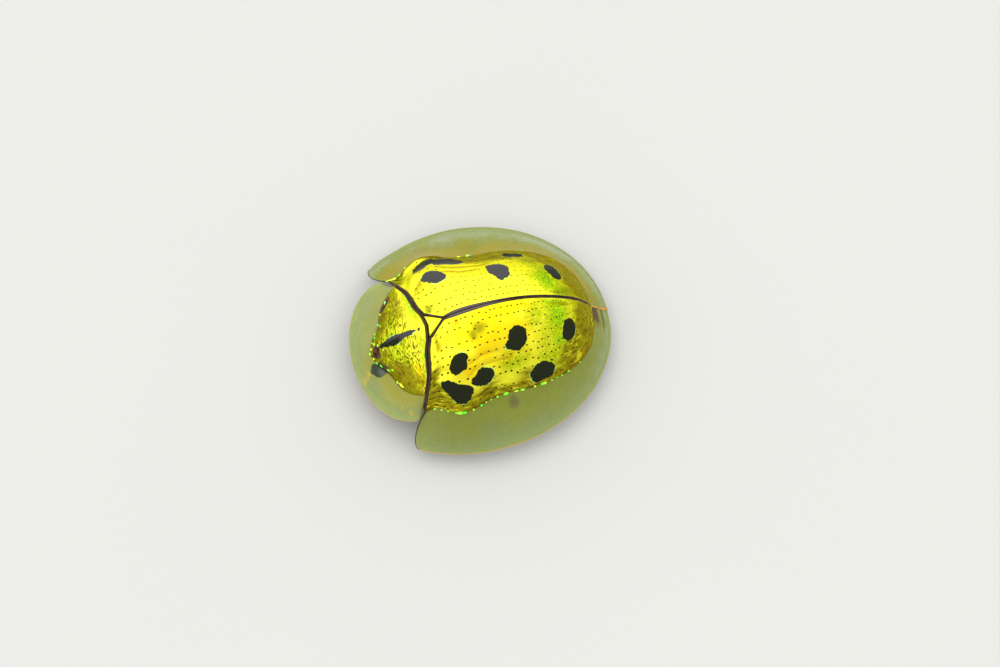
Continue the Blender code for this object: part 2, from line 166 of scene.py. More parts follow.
# The stage: sizes and the key lamp's place in metres, its power in watts
KEY_PLACE = Vector((-0.1, -0.08, 0.3))
KEY_SIZE = 0.3
KEY_POWER = 0.1
FLOOR_HALF_WIDTH = 1.5
CAMERA_DISTANCE = 0.255
CAMERA_NEAR = 0.01
SENSOR_WIDTH_MM = 36.0


# Curves and outlines


def smooth(knots, values):
    """A smooth function through the values at the knots, held flat beyond both ends."""

    def slope(i):
        if i == 0 or i == len(knots) - 1:
            j = min(max(i, 1), len(knots) - 1)
            return (values[j] - values[j - 1]) / (knots[j] - knots[j - 1])
        before = knots[i] - knots[i - 1]
        after = knots[i + 1] - knots[i]
        rise = (values[i] - values[i - 1]) / before
        next_rise = (values[i + 1] - values[i]) / after
        if isinstance(rise, float) and rise * next_rise <= 0:
            return 0.0
        return (rise * after + next_rise * before) / (before + after)

    slopes = [slope(i) for i in range(len(knots))]

    def at(t):
        t = min(max(t, knots[0]), knots[-1])
        i = 0
        while i < len(knots) - 2 and knots[i + 1] < t:
            i += 1
        step = knots[i + 1] - knots[i]
        s = (t - knots[i]) / step
        start = values[i] * (2 * s**3 - 3 * s**2 + 1) + slopes[i] * (step * (s**3 - 2 * s**2 + s))
        end = values[i + 1] * (3 * s**2 - 2 * s**3) + slopes[i + 1] * (step * (s**3 - s**2))
        return start + end

    return at


def graph(*pairs):
    """A smooth height, width or exponent read by its first number."""
    return smooth([p[0] for p in pairs], [p[1] for p in pairs])


def through(*points):
    """A smooth curve through the points, read by the share of its length."""
    points = [Vector(p) for p in points]
    reach = [0.0]
    for a, b in zip(points, points[1:]):
        reach.append(reach[-1] + (b - a).length)
    return smooth([r / reach[-1] for r in reach], points)


def rounded(t, wide, far, power=2.0):
    """A quarter of a rounded outline: t runs from its widest place at 0 to its far end at 1."""
    turn = t * pi / 2
    return wide * cos(turn) ** (2 / power), far * sin(turn) ** (2 / power)


def ease(low, high, value):
    """Rise softly from 0 at low to 1 at high."""
    share = min(max((value - low) / (high - low), 0.0), 1.0)
    return share * share * (3 - 2 * share)


def hump(value, centre, half_width):
    """A soft hump, 1 at the centre and 0 from half_width away."""
    return 1 - ease(0, half_width, abs(value - centre))


# The seam between the pronotum and the wing cases: how far back and how high it is at each width
seam_back = graph(
    (0.0, 1.17), (0.45, 1.09), (0.73, 0.98), (1.07, 0.91), (1.45, 0.84), (1.92, 0.62), (2.4, 0.4),
)
seam_height = graph(
    (0.0, 2.23), (0.45, 2.12), (0.73, 1.98), (1.07, 1.82), (1.45, 1.58), (1.92, 1.2), (2.4, 0.7),
)

# The line of the back from the front seam to the rear of the disc
back_height = graph(
    (1.1, 2.2), (1.68, 2.5), (2.05, 2.68), (2.5, 2.81), (3.1, SHELL_TOP), (3.75, 2.81),
    (4.37, 2.64), (4.99, 2.32), (5.61, 1.87), (6.08, 1.4), (DISC_REAR, 0.6),
)
disc_edge_height = graph((0.5, 0.74), (1.18, 1.06), (3.15, 1.02), (5.0, 0.86), (DISC_REAR, 0.56))

# The height of the rim round a wing case, from its seam end at 0 to the tail at 1
rim_level = graph(
    (0, 0.66), (0.035, 0.3), (0.075, -0.03), (0.13, -0.06), (0.4, 0.05), (0.75, 0.02), (1, -0.1),
)

# How broad-shouldered the disc is across, and how steep it stands, from front to rear
disc_breadth = graph((1.1, 3.6), (1.75, 4.2), (2.45, 3.0), (3.8, 2.2), (DISC_REAR, 2.0))
disc_steepness = graph((1.1, 1.8), (1.75, 2.0), (2.45, 1.25), (3.8, 1.1), (DISC_REAR, 1.05))


def disc_side():
    """The lower edge of the golden disc, from the front seam round to the tail."""
    points = [(2.3, 0.5), (2.31, 0.82), (2.52, 1.14), (2.73, 1.6), (2.7, 2.05), (2.53, 2.52)]
    for step in range(9):
        x, y = rounded(step / 8, DISC_HALF_WIDTH, DISC_REAR - DISC_WAIST, 2.5)
        points.append((x, DISC_WAIST + y))
    return through(*points)


def rim_side():
    """The rim of a wing case: along its front edge, round its corner and back to the tail."""
    points = [(2.37, 0.41), (2.64, 0.18), (2.92, 0.05), (3.13, 0.07), (3.26, 0.25)]
    for step in (1, 2, 3):
        turn = -0.56 + 0.14 * step
        points.append((RIM_HALF_WIDTH * cos(turn), RIM_WIDEST + RIM_FRONT_REACH * sin(turn)))
    for step in range(1, 11):
        x, y = rounded(step / 10, RIM_HALF_WIDTH, TAIL - RIM_WIDEST)
        points.append((x, RIM_WIDEST + y))
    return through(*points)


disc_edge = disc_side()
rim_edge = rim_side()
suture_line = through((SCUTELLUM_HALF_WIDTH, 1.12), (0.2, 1.4), (0.0, SCUTELLUM_TIP))


def suture(u):
    """The inner edge of a wing case: beside the scutellum, then straight back."""
    if u < BESIDE_SCUTELLUM:
        return suture_line(u / BESIDE_SCUTELLUM)
    share = (u - BESIDE_SCUTELLUM) / (1 - BESIDE_SCUTELLUM)
    return Vector((0.0, SCUTELLUM_TIP + (DISC_REAR - SCUTELLUM_TIP) * share))


def disc_point(u, v):
    """A point on the golden disc: u from the front seam to the tail, v from the suture to its edge."""
    inner = suture(u)
    outer = disc_edge(u)
    plan = inner.lerp(outer, v)
    chord = suture(0).lerp(disc_edge(0), v)
    plan.y += (seam_back(chord.x) + SEAM_HALF_GAP - chord.y) * max(0.0, 1 - u / SEAM_BLEND) ** 2
    edge = disc_edge_height(outer.y)
    dome = (1 - v ** disc_breadth(inner.y)) ** disc_steepness(inner.y)
    height = edge + (back_height(inner.y) - edge) * dome
    climb = 1 - max(0.0, 1 - u / SHOULDER_RISE) ** 2
    height = seam_height(chord.x) * (1 - climb) + height * climb
    return Vector((plan.x, plan.y, height))


def margin_point(u, t):
    """A point on the flat margin: u from the front corner to the tail, t from the disc to the rim."""
    inner = disc_edge(u)
    along = (1 - CORNER_SHARE) * u + CORNER_SHARE * (1 - exp(-u / CORNER_REACH))
    plan = inner.lerp(rim_edge(along), t)
    low = rim_level(along)
    edge = disc_edge_height(inner.y)
    return Vector((plan.x, plan.y, low + (edge - low) * (1 - t) ** MARGIN_HOLLOW))


pronotum_front = through(
    (0.0, -0.7, 0.83), (0.45, -0.52, 0.8), (0.81, -0.26, 0.8), (1.4, 0.0, 0.84), (1.72, 0.28, 0.98),
    (PRONOTUM_DISC_HALF_WIDTH, 0.6, 1.2),
)


def pronotum_point(a, t):
    """A point on the golden pronotum: a from side to side, -1 to 1, t from the rear seam forward."""
    x = abs(a) * PRONOTUM_DISC_HALF_WIDTH
    rear = Vector((x, seam_back(x) - SEAM_HALF_GAP, seam_height(x)))
    front = pronotum_front(abs(a))
    point = rear.lerp(front, t)
    fall = (1 - FRONT_ROLL) * t + FRONT_ROLL * t**7
    point.z = rear.z + (front.z - rear.z) * fall
    if a < 0:
        point.x = -point.x
    return point


def pronotum_rim():
    """The rim of the pronotum from its front tip to the seam."""
    points = []
    for step in range(8):
        x, y = rounded(1 - step / 8, PRONOTUM_HALF_WIDTH, PRONOTUM_WIDEST - SNOUT)
        points.append((x, PRONOTUM_WIDEST - y))
    return through(*points, (2.42, 0.28), (2.38, 0.37), (2.3, 0.42))


pronotum_outline = pronotum_rim()


def pronotum_margin_point(a, t):
    """A point on the pronotum's clear margin: a from side to side, t from the disc to the rim."""
    inner = pronotum_front(abs(a))
    outer = pronotum_outline(abs(a))
    height = PRONOTUM_RIM_HEIGHT + PRONOTUM_RIM_RISE * a * a
    point = Vector((*inner.xy.lerp(outer, t), height + (inner.z - height) * (1 - t) ** MARGIN_HOLLOW))
    if a < 0:
        point.x = -point.x
    return point


def upward(place, u, v, step=0.004):
    """The outward direction of a surface at (u, v)."""
    u = min(max(u, step), 1 - step)
    v = min(max(v, step), 1 - step)
    along = place(u + step, v) - place(u - step, v)
    across = place(u, v + step) - place(u, v - step)
    away = along.cross(across).normalized()
    return away if away.z > 0 else -away


# Meshes


def sheet(columns, rows, place):
    """A grid whose point (u, v), each from 0 to 1, is put at place(u, v), with (u, v) as its UV map."""
    bm = bmesh.new()
    bmesh.ops.create_grid(bm, x_segments=columns, y_segments=rows, size=0.5)
    layer = bm.loops.layers.uv.new("shape")
    for face in bm.faces:
        for loop in face.loops:
            loop[layer].uv = (loop.vert.co.x + 0.5, loop.vert.co.y + 0.5)
    for vert in bm.verts:
        vert.co = place(vert.co.x + 0.5, vert.co.y + 0.5)
    bmesh.ops.remove_doubles(bm, verts=bm.verts[:], dist=MERGE)
    return bm


# What the points of a golden plate carry for its material; a spot's outline is where "spot" is 1
MARKS = (
    "spot", "pit", "orange", "green", "leaf", "smudge", "amber", "wrinkle", "haze", "eye", "line",
)


def shell(columns, rows, outside, inside, dimples=None, marks=None):
    """A closed plate between two surfaces read at (u, v).

    dimples(bm, sink) may cut pits and set how deep they sink; marks(u, v, point) gives the values of
    MARKS that an outer point carries.
    """
    bm = bmesh.new()
    bmesh.ops.create_grid(bm, x_segments=columns, y_segments=rows, size=0.5)
    bmesh.ops.translate(bm, verts=bm.verts[:], vec=(0.5, 0.5, 0))
    made = bmesh.ops.extrude_face_region(bm, geom=bm.faces[:], use_keep_orig=True)
    for item in made["geom"]:
        if isinstance(item, bmesh.types.BMVert):
            item.co.z = -1
    sink = bm.verts.layers.float.new("sink")
    kept = {name: bm.verts.layers.float.new(name) for name in MARKS}
    if dimples:
        dimples(bm, sink)
    uv = bm.loops.layers.uv.new("shape")
    for face in bm.faces:
        face.material_index = int(max(vert.co.z for vert in face.verts) < -0.5)
        for loop in face.loops:
            loop[uv].uv = loop.vert.co.xy
    for vert in bm.verts:
        u, v, layer = vert.co
        if layer < -0.5:
            vert.co = inside(u, v)
            continue
        vert.co = outside(u, v, vert[sink])
        for name, value in (marks(u, v, vert.co) if marks else {}).items():
            vert[kept[name]] = max(vert[kept[name]], value)
    bmesh.ops.remove_doubles(bm, verts=bm.verts[:], dist=MERGE)
    return bm


def shrunk(outside, centre, share):
    """The inner side of a hollow plate, which is its outer side drawn towards a centre."""
    return lambda u, v: centre + (outside(u, v, 0.0) - centre) * share


def tube(route, radius, sides, rows, flat=1.0, up=Vector((0, 0, 1))):
    """A closed tube along a route read from 0 to 1; radius(t) is its half-thickness, 0 at its ends."""

    def place(u, v):
        turn = 2 * pi * u
        middle = route(v)
        along = (route(min(v + 0.01, 1)) - route(max(v - 0.01, 0))).normalized()
        across = along.cross(up).normalized()
        above = across.cross(along)
        wide = radius(v)
        return middle + across * (wide * cos(turn)) + above * (wide * flat * sin(turn))

    return sheet(sides, rows, place)


def straight(start, end):
    """A straight route between two points."""
    start = Vector(start)
    end = Vector(end)
    return lambda t: start.lerp(end, t)


def lump(centre, sizes, columns=24, rows=14, shape=None):
    """A closed rounded body with half-sizes along X, Y and Z; shape may change each point."""
    centre = Vector(centre)

    def place(u, v):
        turn = 2 * pi * u
        lean = pi * (v - 0.5)
        point = Vector((cos(turn) * cos(lean), sin(turn) * cos(lean), sin(lean)))
        point = centre + Vector(p * s for p, s in zip(point, sizes))
        return shape(point) if shape else point

    return sheet(columns, rows, place)


def join(*parts):
    """Put several shapes into one."""
    whole = parts[0]
    for part in parts[1:]:
        mesh = bpy.data.meshes.new("part")
        part.to_mesh(mesh)
        part.free()
        whole.from_mesh(mesh)
        bpy.data.meshes.remove(mesh)
    return whole


def flip(bm):
    """Turn a left piece into its right twin."""
    for vert in bm.verts:
        vert.co.x = -vert.co.x


def aside(bm):
    """Move a left piece clear of the midline."""
    bmesh.ops.translate(bm, verts=bm.verts[:], vec=(MIDLINE_GAP, 0, 0))
    return bm


def above_floor(route, side=1):
    """A smooth curve through places whose heights are above the floor, on the left or the right."""
    return through(*((side * x, y, FLOOR + z) for x, y, z in route))


def stand(name, bm, materials, replaced=(), levels=0):
    """Put a worked-out shape in its place in the frame as a named piece."""
    bmesh.ops.translate(bm, verts=bm.verts[:], vec=(0, SHELL_BACK, RIM_HEIGHT))
    bmesh.ops.scale(bm, verts=bm.verts[:], vec=(MM, MM, MM))
    bmesh.ops.recalc_face_normals(bm, faces=bm.faces[:])
    if bm.calc_volume(signed=True) < 0:
        bmesh.ops.reverse_faces(bm, faces=bm.faces[:])
    mesh = bpy.data.meshes.new(name)
    bm.to_mesh(mesh)
    bm.free()
    mesh.shade_smooth()
    piece = bpy.data.objects.new(name, mesh)
    bpy.context.scene.collection.objects.link(piece)
    for material in materials:
        mesh.materials.append(material)
    if levels:
        rounding = piece.modifiers.new("rounding", "SUBSURF")
        rounding.levels = levels
        rounding.render_levels = levels
    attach(piece, BODY)
    if replaced:
        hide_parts(*replaced)
    return piece


def both_sides(name, make, materials, nodes=(), levels=0):
    """Make a piece and its mirror twin; nodes are named without their side."""
    for side in SIDES:
        bm = make(side)
        if side == "right":
            flip(bm)
        replaced = [f"{node}_{side}" for node in nodes]
        stand(f"{name}_{side}", bm, materials, replaced, levels)


# Shader nodes

FLOAT = "NodeSocketFloat"
VECTOR = "NodeSocketVector"
COLOUR = "NodeSocketColor"


class Field:
    """A value or colour that changes over the surface; sums with values are made as Math nodes."""

    def __init__(self, socket):
        self.socket = socket

    def math(self, operation, *values):
        """A Math node's result."""
        return add(self.socket.id_data, "ShaderNodeMath", dict(enumerate(values)), operation=operation)

    def __add__(self, other):
        return self.math("ADD", self, other)

    def __sub__(self, other):
        return self.math("SUBTRACT", self, other)

    def __rsub__(self, other):
        return self.math("SUBTRACT", other, self)

    def __mul__(self, other):
        return self.math("MULTIPLY", self, other)

    def __truediv__(self, other):
        return self.math("DIVIDE", self, other)

    def most(self, other):
        """The larger of two values."""
        return self.math("MAXIMUM", self, other)

    def away(self, centre):
        """How far a value is from a centre."""
        return self.math("ABSOLUTE", self - centre)

    def band(self, low, high, start=0.0, end=1.0):
        """Rise softly from start at low to end at high."""
        feeds = {"Value": self, "From Min": low, "From Max": high, "To Min": start, "To Max": end}
        return add(self.socket.id_data, "ShaderNodeMapRange", feeds, interpolation_type="SMOOTHSTEP")


def plug(node, inputs):
    """Feed a node's inputs with fields or values; underscores stand for the spaces in their names."""
    for label, value in dict(inputs).items():
        socket = node.inputs[label.replace("_", " ") if isinstance(label, str) else label]
        if isinstance(value, Field):
            node.id_data.links.new(value.socket, socket)
        else:
            socket.default_value = (*value[:3], 1.0) if socket.type == "RGBA" else value


def add(tree, kind, inputs=(), output=0, **settings):
    """Add a node, feed its inputs and set its options; its output as a field."""
    made = tree.nodes.new(kind)
    for option, value in settings.items():
        setattr(made, option, value)
    plug(made, inputs)
    return Field(made.outputs[output])


def vector(tree, operation, *values):
    """A Vector Math node's result."""
    output = "Value" if operation == "DOT_PRODUCT" else "Vector"
    return add(tree, "ShaderNodeVectorMath", dict(enumerate(values)), output, operation=operation)


class Nodes:
    """A node tree to fill: the fields that a finish reads, and a colour painted tone over tone."""

    def __init__(self, tree, colour=None):
        self.tree = tree
        self.colour = colour

    @cached_property
    def place(self):
        """Where a point of the piece is, in millimetres."""
        coordinates = add(self.tree, "ShaderNodeTexCoord", output="Object")
        return vector(self.tree, "MULTIPLY", coordinates, (1 / MM,) * 3)

    @cached_property
    def side(self):
        """How far a point lies to the beetle's left, in millimetres."""
        return add(self.tree, "ShaderNodeSeparateXYZ", {0: self.place})

    @cached_property
    def uv(self):
        """The two numbers of the piece's own map."""
        uv = add(self.tree, "ShaderNodeUVMap", uv_map="shape")
        return [add(self.tree, "ShaderNodeSeparateXYZ", {0: uv}, part) for part in (0, 1)]

    def carried(self, name):
        """A value that the points of the piece carry."""
        return add(self.tree, "ShaderNodeAttribute", output="Fac", attribute_name=name)

    def noise(self, scale, detail=2.0, rough=0.5, where=None):
        """A soft random value from 0 to 1 at a place in millimetres."""
        feeds = {"Vector": where or self.place, "Scale": scale, "Detail": detail, "Roughness": rough}
        return add(self.tree, "ShaderNodeTexNoise", feeds)

    def cells(self, scale, feature="F1", where=None, randomness=1.0):
        """How far a place is from a random cell's middle, or from its edge."""
        feeds = {"Vector": where or self.place, "Scale": scale, "Randomness": randomness}
        return add(self.tree, "ShaderNodeTexVoronoi", feeds, "Distance", feature=feature)

    def mix(self, share, first, second):
        """The mix of two colours."""
        return add(self.tree, "ShaderNodeMix", {0: share, 6: first, 7: second}, 2, data_type="RGBA")

    def paint(self, mask, tone):
        """Lay a tone over the colour so far, where the mask is 1."""
        self.colour = self.mix(mask, self.colour, tone)

    def left_share(self, left, right):
        """A value that goes over from left to right at the midline."""
        return self.side.band(-0.3, 0.3, right, left)

    def bump(self, height, distance, strength):
        """A Bump node's normal; distance is in millimetres."""
        feeds = {"Height": height, "Distance": distance * MM, "Strength": strength}
        return add(self.tree, "ShaderNodeBump", feeds)

    def shade(self, **values):
        """Feed the Principled BSDF with the colour and other values."""
        plug(self.tree.nodes["Principled BSDF"], {"Base Color": self.colour, **values})


def effect(name, outputs=(), **inputs):
    """Make a function that paints into a shader node group, built once, with named inputs and outputs.

    Calling the function places the group in a tree: it paints over the tree's colour, and its other
    outputs come back as fields.
    """

    def wrap(fill):
        @cache
        def build():
            group = bpy.data.node_groups.new(name, "ShaderNodeTree")
            for label, kind in {"Colour": COLOUR, **inputs}.items():
                group.interface.new_socket(label.replace("_", " "), in_out="INPUT", socket_type=kind)
            for label, kind in {"Colour": COLOUR, **dict.fromkeys(outputs, FLOAT)}.items():
                group.interface.new_socket(label, in_out="OUTPUT", socket_type=kind)
            given = [Field(socket) for socket in group.nodes.new("NodeGroupInput").outputs]
            nodes = Nodes(group, given[0])
            made = fill(nodes, *given[1:len(inputs) + 1]) or ()
            plug(group.nodes.new("NodeGroupOutput"), {"Colour": nodes.colour, **dict(zip(outputs, made))})
            return group

        def place_in(nodes, **values):
            made = nodes.tree.nodes.new("ShaderNodeGroup")
            made.node_tree = build()
            plug(made, {"Colour": nodes.colour, **values})
            nodes.colour, *others = [Field(socket) for socket in made.outputs]
            return others

        return place_in

    return wrap


def finish(name):
    """Make a function that fills a node tree into the maker of a material, which is made once."""

    def wrap(fill):
        @cache
        def make():
            made = bpy.data.materials.new(name)
            made.use_nodes = True
            fill(Nodes(made.node_tree))
            return made

        return make

    return wrap


# Where things are on the shell


def on_disc(x, y):
    """The (u, v) of the place on the left disc that lies below (x, y), found step by step."""
    most = 0.98
    pace = 0.7
    length = 5.4
    u, v = 0.5, 0.5
    for _ in range(40):
        here = disc_point(u, v)
        width = max(disc_edge(u).x - suture(u).x, 0.2)
        v = min(max(v + (x - here.x) / width * pace, 0.0), most)
        u = min(max(u + (y - here.y) / length * pace, 0.002), most)
    return u, v


def seat(x, y):
    """Where a mark sits on a wing case, and its directions across and along the surface."""
    u, v = on_disc(abs(x), y)
    point = disc_point(u, v)
    up = upward(disc_point, u, v)
    if x < 0:
        point.x = -point.x
        up.x = -up.x
    back = Vector((0, 1, 0))
    along = (back - up * back.dot(up)).normalized()
    return point, along.cross(up), along


# Black spots: place across and back, then how far each reaches in eight or twelve even directions,
# from the beetle's left round by its tail and its right to its head
SPOTS = {
    "left": (
        (1.53, 1.79, (0.33, 0.32, 0.28, 0.26, 0.36, 0.35, 0.29, 0.26, 0.26, 0.29, 0.40, 0.45)),
        (2.16, 1.61, (0.54, 0.56, 0.50, 0.48, 0.32, 0.24, 0.25, 0.45, 0.60, 0.44, 0.36, 0.40)),
        (1.98, 2.46, (0.35, 0.36, 0.40, 0.41, 0.38, 0.32, 0.29, 0.27, 0.26, 0.38, 0.40, 0.33)),
        (1.18, 3.77, (0.43, 0.36, 0.37, 0.35, 0.41, 0.40, 0.39, 0.34, 0.30, 0.33, 0.49, 0.42)),
        (1.03, 5.53, (0.36, 0.33, 0.32, 0.34, 0.35, 0.26, 0.27, 0.35)),
        (2.07, 4.40, (0.28, 0.35, 0.47, 0.39, 0.36, 0.36, 0.41, 0.42)),
    ),
    "right": (
        (-1.48, 1.74, (0.33, 0.38, 0.44, 0.34, 0.31, 0.30, 0.36, 0.49, 0.48, 0.28, 0.26, 0.25)),
        (-2.22, 1.54, (0.35, 0.25, 0.42, 0.60, 0.42, 0.32, 0.32, 0.45)),
        (-2.12, 2.44, (0.38, 0.48, 0.46, 0.34, 0.38, 0.58, 0.56, 0.42)),
        (-1.10, 3.77, (0.43, 0.37, 0.37, 0.35, 0.45, 0.52, 0.56, 0.56, 0.38, 0.33, 0.26, 0.27)),
        (-0.95, 5.56, (0.35, 0.33, 0.27, 0.29, 0.45, 0.37, 0.28, 0.25)),
        (-1.97, 4.5, (0.15, 0.25, 0.33, 0.24, 0.19, 0.25, 0.36, 0.26)),
    ),
}

# No spot reaches further than this
SPOT_REACH = 0.9

# Cloudy patches: place, half-sizes across and along
PATCHES = {
    "orange": {
        "left": (
            (0.95, 3.0, 1.05, 1.35), (1.75, 2.1, 0.4, 0.45), (0.3, 2.02, 0.16, 0.16), (0.3, 3.4, 0.3, 1.4),
        ),
        "right": (),
    },
    "green": {
        "left": ((0.7, 5.3, 0.9, 0.8), (1.7, 4.9, 0.7, 0.6), (1.7, 3.6, 0.5, 0.5), (0.6, 4.5, 0.4, 0.4)),
        "right": ((-0.75, 5.3, 0.9, 0.7), (-1.5, 4.9, 0.4, 0.5)),
    },
    "leaf": {
        "left": ((0.62, 5.3, 0.35, 0.25), (1.3, 5.2, 0.2, 0.3), (0.2, 5.3, 0.1, 0.4)),
        "right": ((-0.7, 5.2, 0.4, 0.3), (-0.2, 5.6, 0.12, 0.3)),
    },
    "fleck": {"left": ((0.26, 2.02, 0.13, 0.09), (0.22, 2.3, 0.08, 0.05)), "right": ()},
    "smudge": {
        "left": (
            (0.67, 2.68, 0.2, 0.22), (0.87, 2.42, 0.17, 0.13), (0.66, 1.3, 0.32, 0.08),
            (0.24, 5.5, 0.07, 0.45), (1.0, 6.15, 1.5, 0.42),
        ),
        "right": ((-0.5, 1.33, 0.14, 0.2), (-0.5, 6.05, 1.0, 0.5), (-0.16, 5.6, 0.06, 0.4)),
    },
}


def outline(reaches):
    """A spot's outline: its reach at a turn in radians, through the given even ones."""
    number = len(reaches)
    knots = list(range(-2, number + 3))
    curve = smooth(knots, [reaches[k % number] for k in knots])
    return lambda turn: curve(turn % (2 * pi) / (2 * pi) * number)


def spot_depth(side):
    """How deep a point lies inside the nearest spot of a side, in millimetres; less than 0 outside."""
    spots = [(*seat(x, y), outline(reaches)) for x, y, reaches in SPOTS[side]]

    def depth(point):
        best = -1.0
        for centre, across, along, edge in spots:
            away = point - centre
            if away.length < SPOT_REACH:
                x, y = away.dot(across), away.dot(along)
                best = max(best, edge(atan2(y, x)) - hypot(x, y))
        return best

    return depth


def cloud(side, kind):
    """How much of a cloudy patch covers a point, 0 to 1."""
    patches = [(*seat(x, y), wide, long) for x, y, wide, long in PATCHES[kind][side]]

    def cover(point):
        total = 0.0
        for centre, across, along, wide, long in patches:
            away = point - centre
            reach = hypot(away.dot(across) / wide, away.dot(along) / long)
            reach += 0.5 * noise.noise(point * 2.1) + 0.25 * noise.noise(point * 6.0)
            total = max(total, ease(1.5, 0.25, reach))
        return total

    return cover


# Settings


def swatch(name, description, *rgb):
    """A colour that a user may change."""
    return bpy.props.FloatVectorProperty(
        name=name, description=description, subtype="COLOR", default=rgb, min=0, max=1,
    )


def fine_size(name, description, default):
    """A size in millimetres that a user may change."""
    return bpy.props.FloatProperty(name=name, description=f"{description}, in millimetres", default=default)


class BeetleColours(bpy.types.PropertyGroup):
    """The beetle's colours."""

    lemon: swatch("Lemon gold", "Most of the golden layer", 1.0, 0.97, 0.035)
    orange: swatch("Orange gold", "The warmer parts of the golden layer", 1.0, 0.72, 0.004)
    green: swatch("Green gold", "The crazed parts of the golden layer", 0.55, 0.66, 0.003)
    # Olive paints the golden edges, partly their own duller tone and partly painted shade and painted
    # reflection, and painted shade on the punctures' lips
    olive: swatch("Olive gold", "The edges of the golden layer", 0.28, 0.245, 0.003)
    black: swatch("Spot black", "The spots", 0.016, 0.02, 0.01)
    # Brown is painted into the punctures and edge pits as their shade
    brown: swatch("Seam brown", "Seams and punctures", 0.045, 0.017, 0.006)
    clear: swatch("Clear horn", "The wing cases' clear margins", 0.27, 0.35, 0.05)
    milky: swatch("Milky horn", "The pronotum's clear margin", 0.33, 0.39, 0.125)
    # Amber tints the clear margins beside the discs, partly their own tint and partly painted reflection of
    # the gold, stronger on one side
    amber: swatch("Amber", "The clear margins beside the discs", 0.29, 0.25, 0.01)
    rim: swatch("Rim line", "The thin line round the clear margins", 0.5, 0.36, 0.14)
    floor: swatch("Floor", "The studio floor", 0.62, 0.62, 0.6)


class BeetleSizes(bpy.types.PropertyGroup):
    """The beetle's fine sizes, in millimetres."""

    puncture_depth: fine_size("Puncture depth", "Depth of the fine punctures", 0.022)
    edge_pit_depth: fine_size("Edge pit depth", "Depth of the coarse pits round the disc", 0.06)
    margin_thickness: fine_size("Margin thickness", "Thickness of the clear margins", 0.09)


def sizes():
    """The fine sizes as set."""
    return bpy.context.scene.beetle_sizes


def tones():
    """The colours as set."""
    return bpy.context.scene.beetle_colours


# Tones laid over the golden layer, the grains, the clear horn, the seams and the brown plates
LEAF_GREEN = (0.3, 0.72, 0.002)
CRAZE_DARK = (0.09, 0.17, 0.003)
WRINKLE_DARK = (0.11, 0.1, 0.004)
DARKER_PATCH_OLIVE = (0.28, 0.29, 0.002)
CREASE_SHADE_AND_FLECK_BROWN = (0.4, 0.2, 0.001)
# Streak brown and edge orange mottle the golden edges' painted shade and reflection
STREAK_BROWN = (0.13, 0.08, 0.002)
EDGE_ORANGE = (0.32, 0.16, 0.003)
FOOT_SHADE_FRONT = (0.09, 0.05, 0.004)
FOOT_SHADE_REAR = (0.24, 0.15, 0.004)
FRINGE_PAINTED_HIGHLIGHT = (0.5, 1.0, 0.25)
SPOT_PAINTED_SHEEN = (0.066, 0.063, 0.064)
PATCH_DARK = (0.035, 0.014, 0.012)
PATCH_LIGHT = (0.16, 0.07, 0.04)
EYE_UNDER_GOLD = (0.06, 0.065, 0.025)
# The grains' bright colours are painted glints
GLINT_GREEN = (0.12, 1.0, 0.03)
GLINT_YELLOW = (0.75, 1.0, 0.03)
GLINT_BLUE_GREEN = (0.1, 0.95, 0.55)
GRAIN_SHINE = (0.8, 1.0, 0.08)
INSIDE_DARK = (0.2, 0.11, 0.02)
INSIDE_LIGHT = (0.4, 0.26, 0.05)
PALE_HORN = (0.27, 0.34, 0.1)
TAIL_BROWN = (0.07, 0.025, 0.002)
SPECK_BROWN = (0.2, 0.13, 0.03)
BLOT_YELLOW = (0.5, 0.4, 0.05)
EYE_UNDER_HORN = ((0.035, 0.045, 0.025), (0.13, 0.15, 0.1))
FOOT_BROWN = (0.16, 0.14, 0.05)
SEAM_DARK = (0.012, 0.007, 0.004)
SEAM_LIGHT = (0.06, 0.026, 0.01)
SEAM_TOP_HIGHLIGHT = (0.045, 0.02, 0.008)
SUTURE_TOP_HIGHLIGHT = (0.1, 0.08, 0.078)
SEAM_END = (0.16, 0.06, 0.01)
UNDERSIDE_TONES = ((0.09, 0.04, 0.01), (0.3, 0.15, 0.025))
LEG_TONES = ((0.16, 0.085, 0.02), (0.34, 0.19, 0.04))
TAIL_SEAM_TONES = ((0.36, 0.15, 0.008), (0.55, 0.3, 0.012))
FACET_TONES = ((0.02, 0.02, 0.022), (0.006, 0.006, 0.006))


# Effects that several materials use


def crackle(nodes, stretch, scale):
    """The fine crazing of the golden layer: its height, and the dark flecks between its grains."""
    tree = nodes.tree
    place = vector(tree, "MULTIPLY", nodes.place, stretch)
    wander = add(tree, "ShaderNodeTexNoise", {"Vector": place, "Scale": 3.0}, "Color")
    place = vector(tree, "ADD", place, vector(tree, "MULTIPLY", wander, (0.3, 0.3, 0.3)))
    grain = nodes.noise(scale * 1.3, 3.0, where=place)
    return nodes.cells(scale, "SMOOTH_F1", place) + grain * 0.5, grain.band(0.47, 0.58)


@effect("golden layer", ["Height"], Stretch=VECTOR, Scale=FLOAT)
def golden_layer(nodes, stretch, scale):
    """The gold's orange, green and darker olive patches, and the height of its fine crazing."""
    wander = nodes.noise(1.7, 4.0)
    height, flecks = crackle(nodes, stretch, scale)
    green = nodes.carried("green")
    wrinkle = nodes.carried("wrinkle")
    leaf = nodes.carried("leaf") * wander.band(0.3, 0.5, 0.25, 0.65)
    nodes.paint(nodes.carried("orange"), tones().orange)
    nodes.paint(green * wander.band(0.25, 0.55, 0.2, 1.0), tones().green)
    nodes.paint(leaf, LEAF_GREEN)
    nodes.paint(green.most(leaf * 2.0) * flecks * 0.55, CRAZE_DARK)
    nodes.paint(wrinkle * flecks * 0.9, WRINKLE_DARK)
    nodes.paint(nodes.carried("smudge") * wander.band(0.25, 0.5, 0.5, 0.9), DARKER_PATCH_OLIVE)
    # Painted shade in the creases, with flecks sharing the mask
    nodes.paint(nodes.carried("line") * 0.85, CREASE_SHADE_AND_FLECK_BROWN)
    return [height * green.most(wrinkle).most(nodes.carried("amber") * 0.8)]


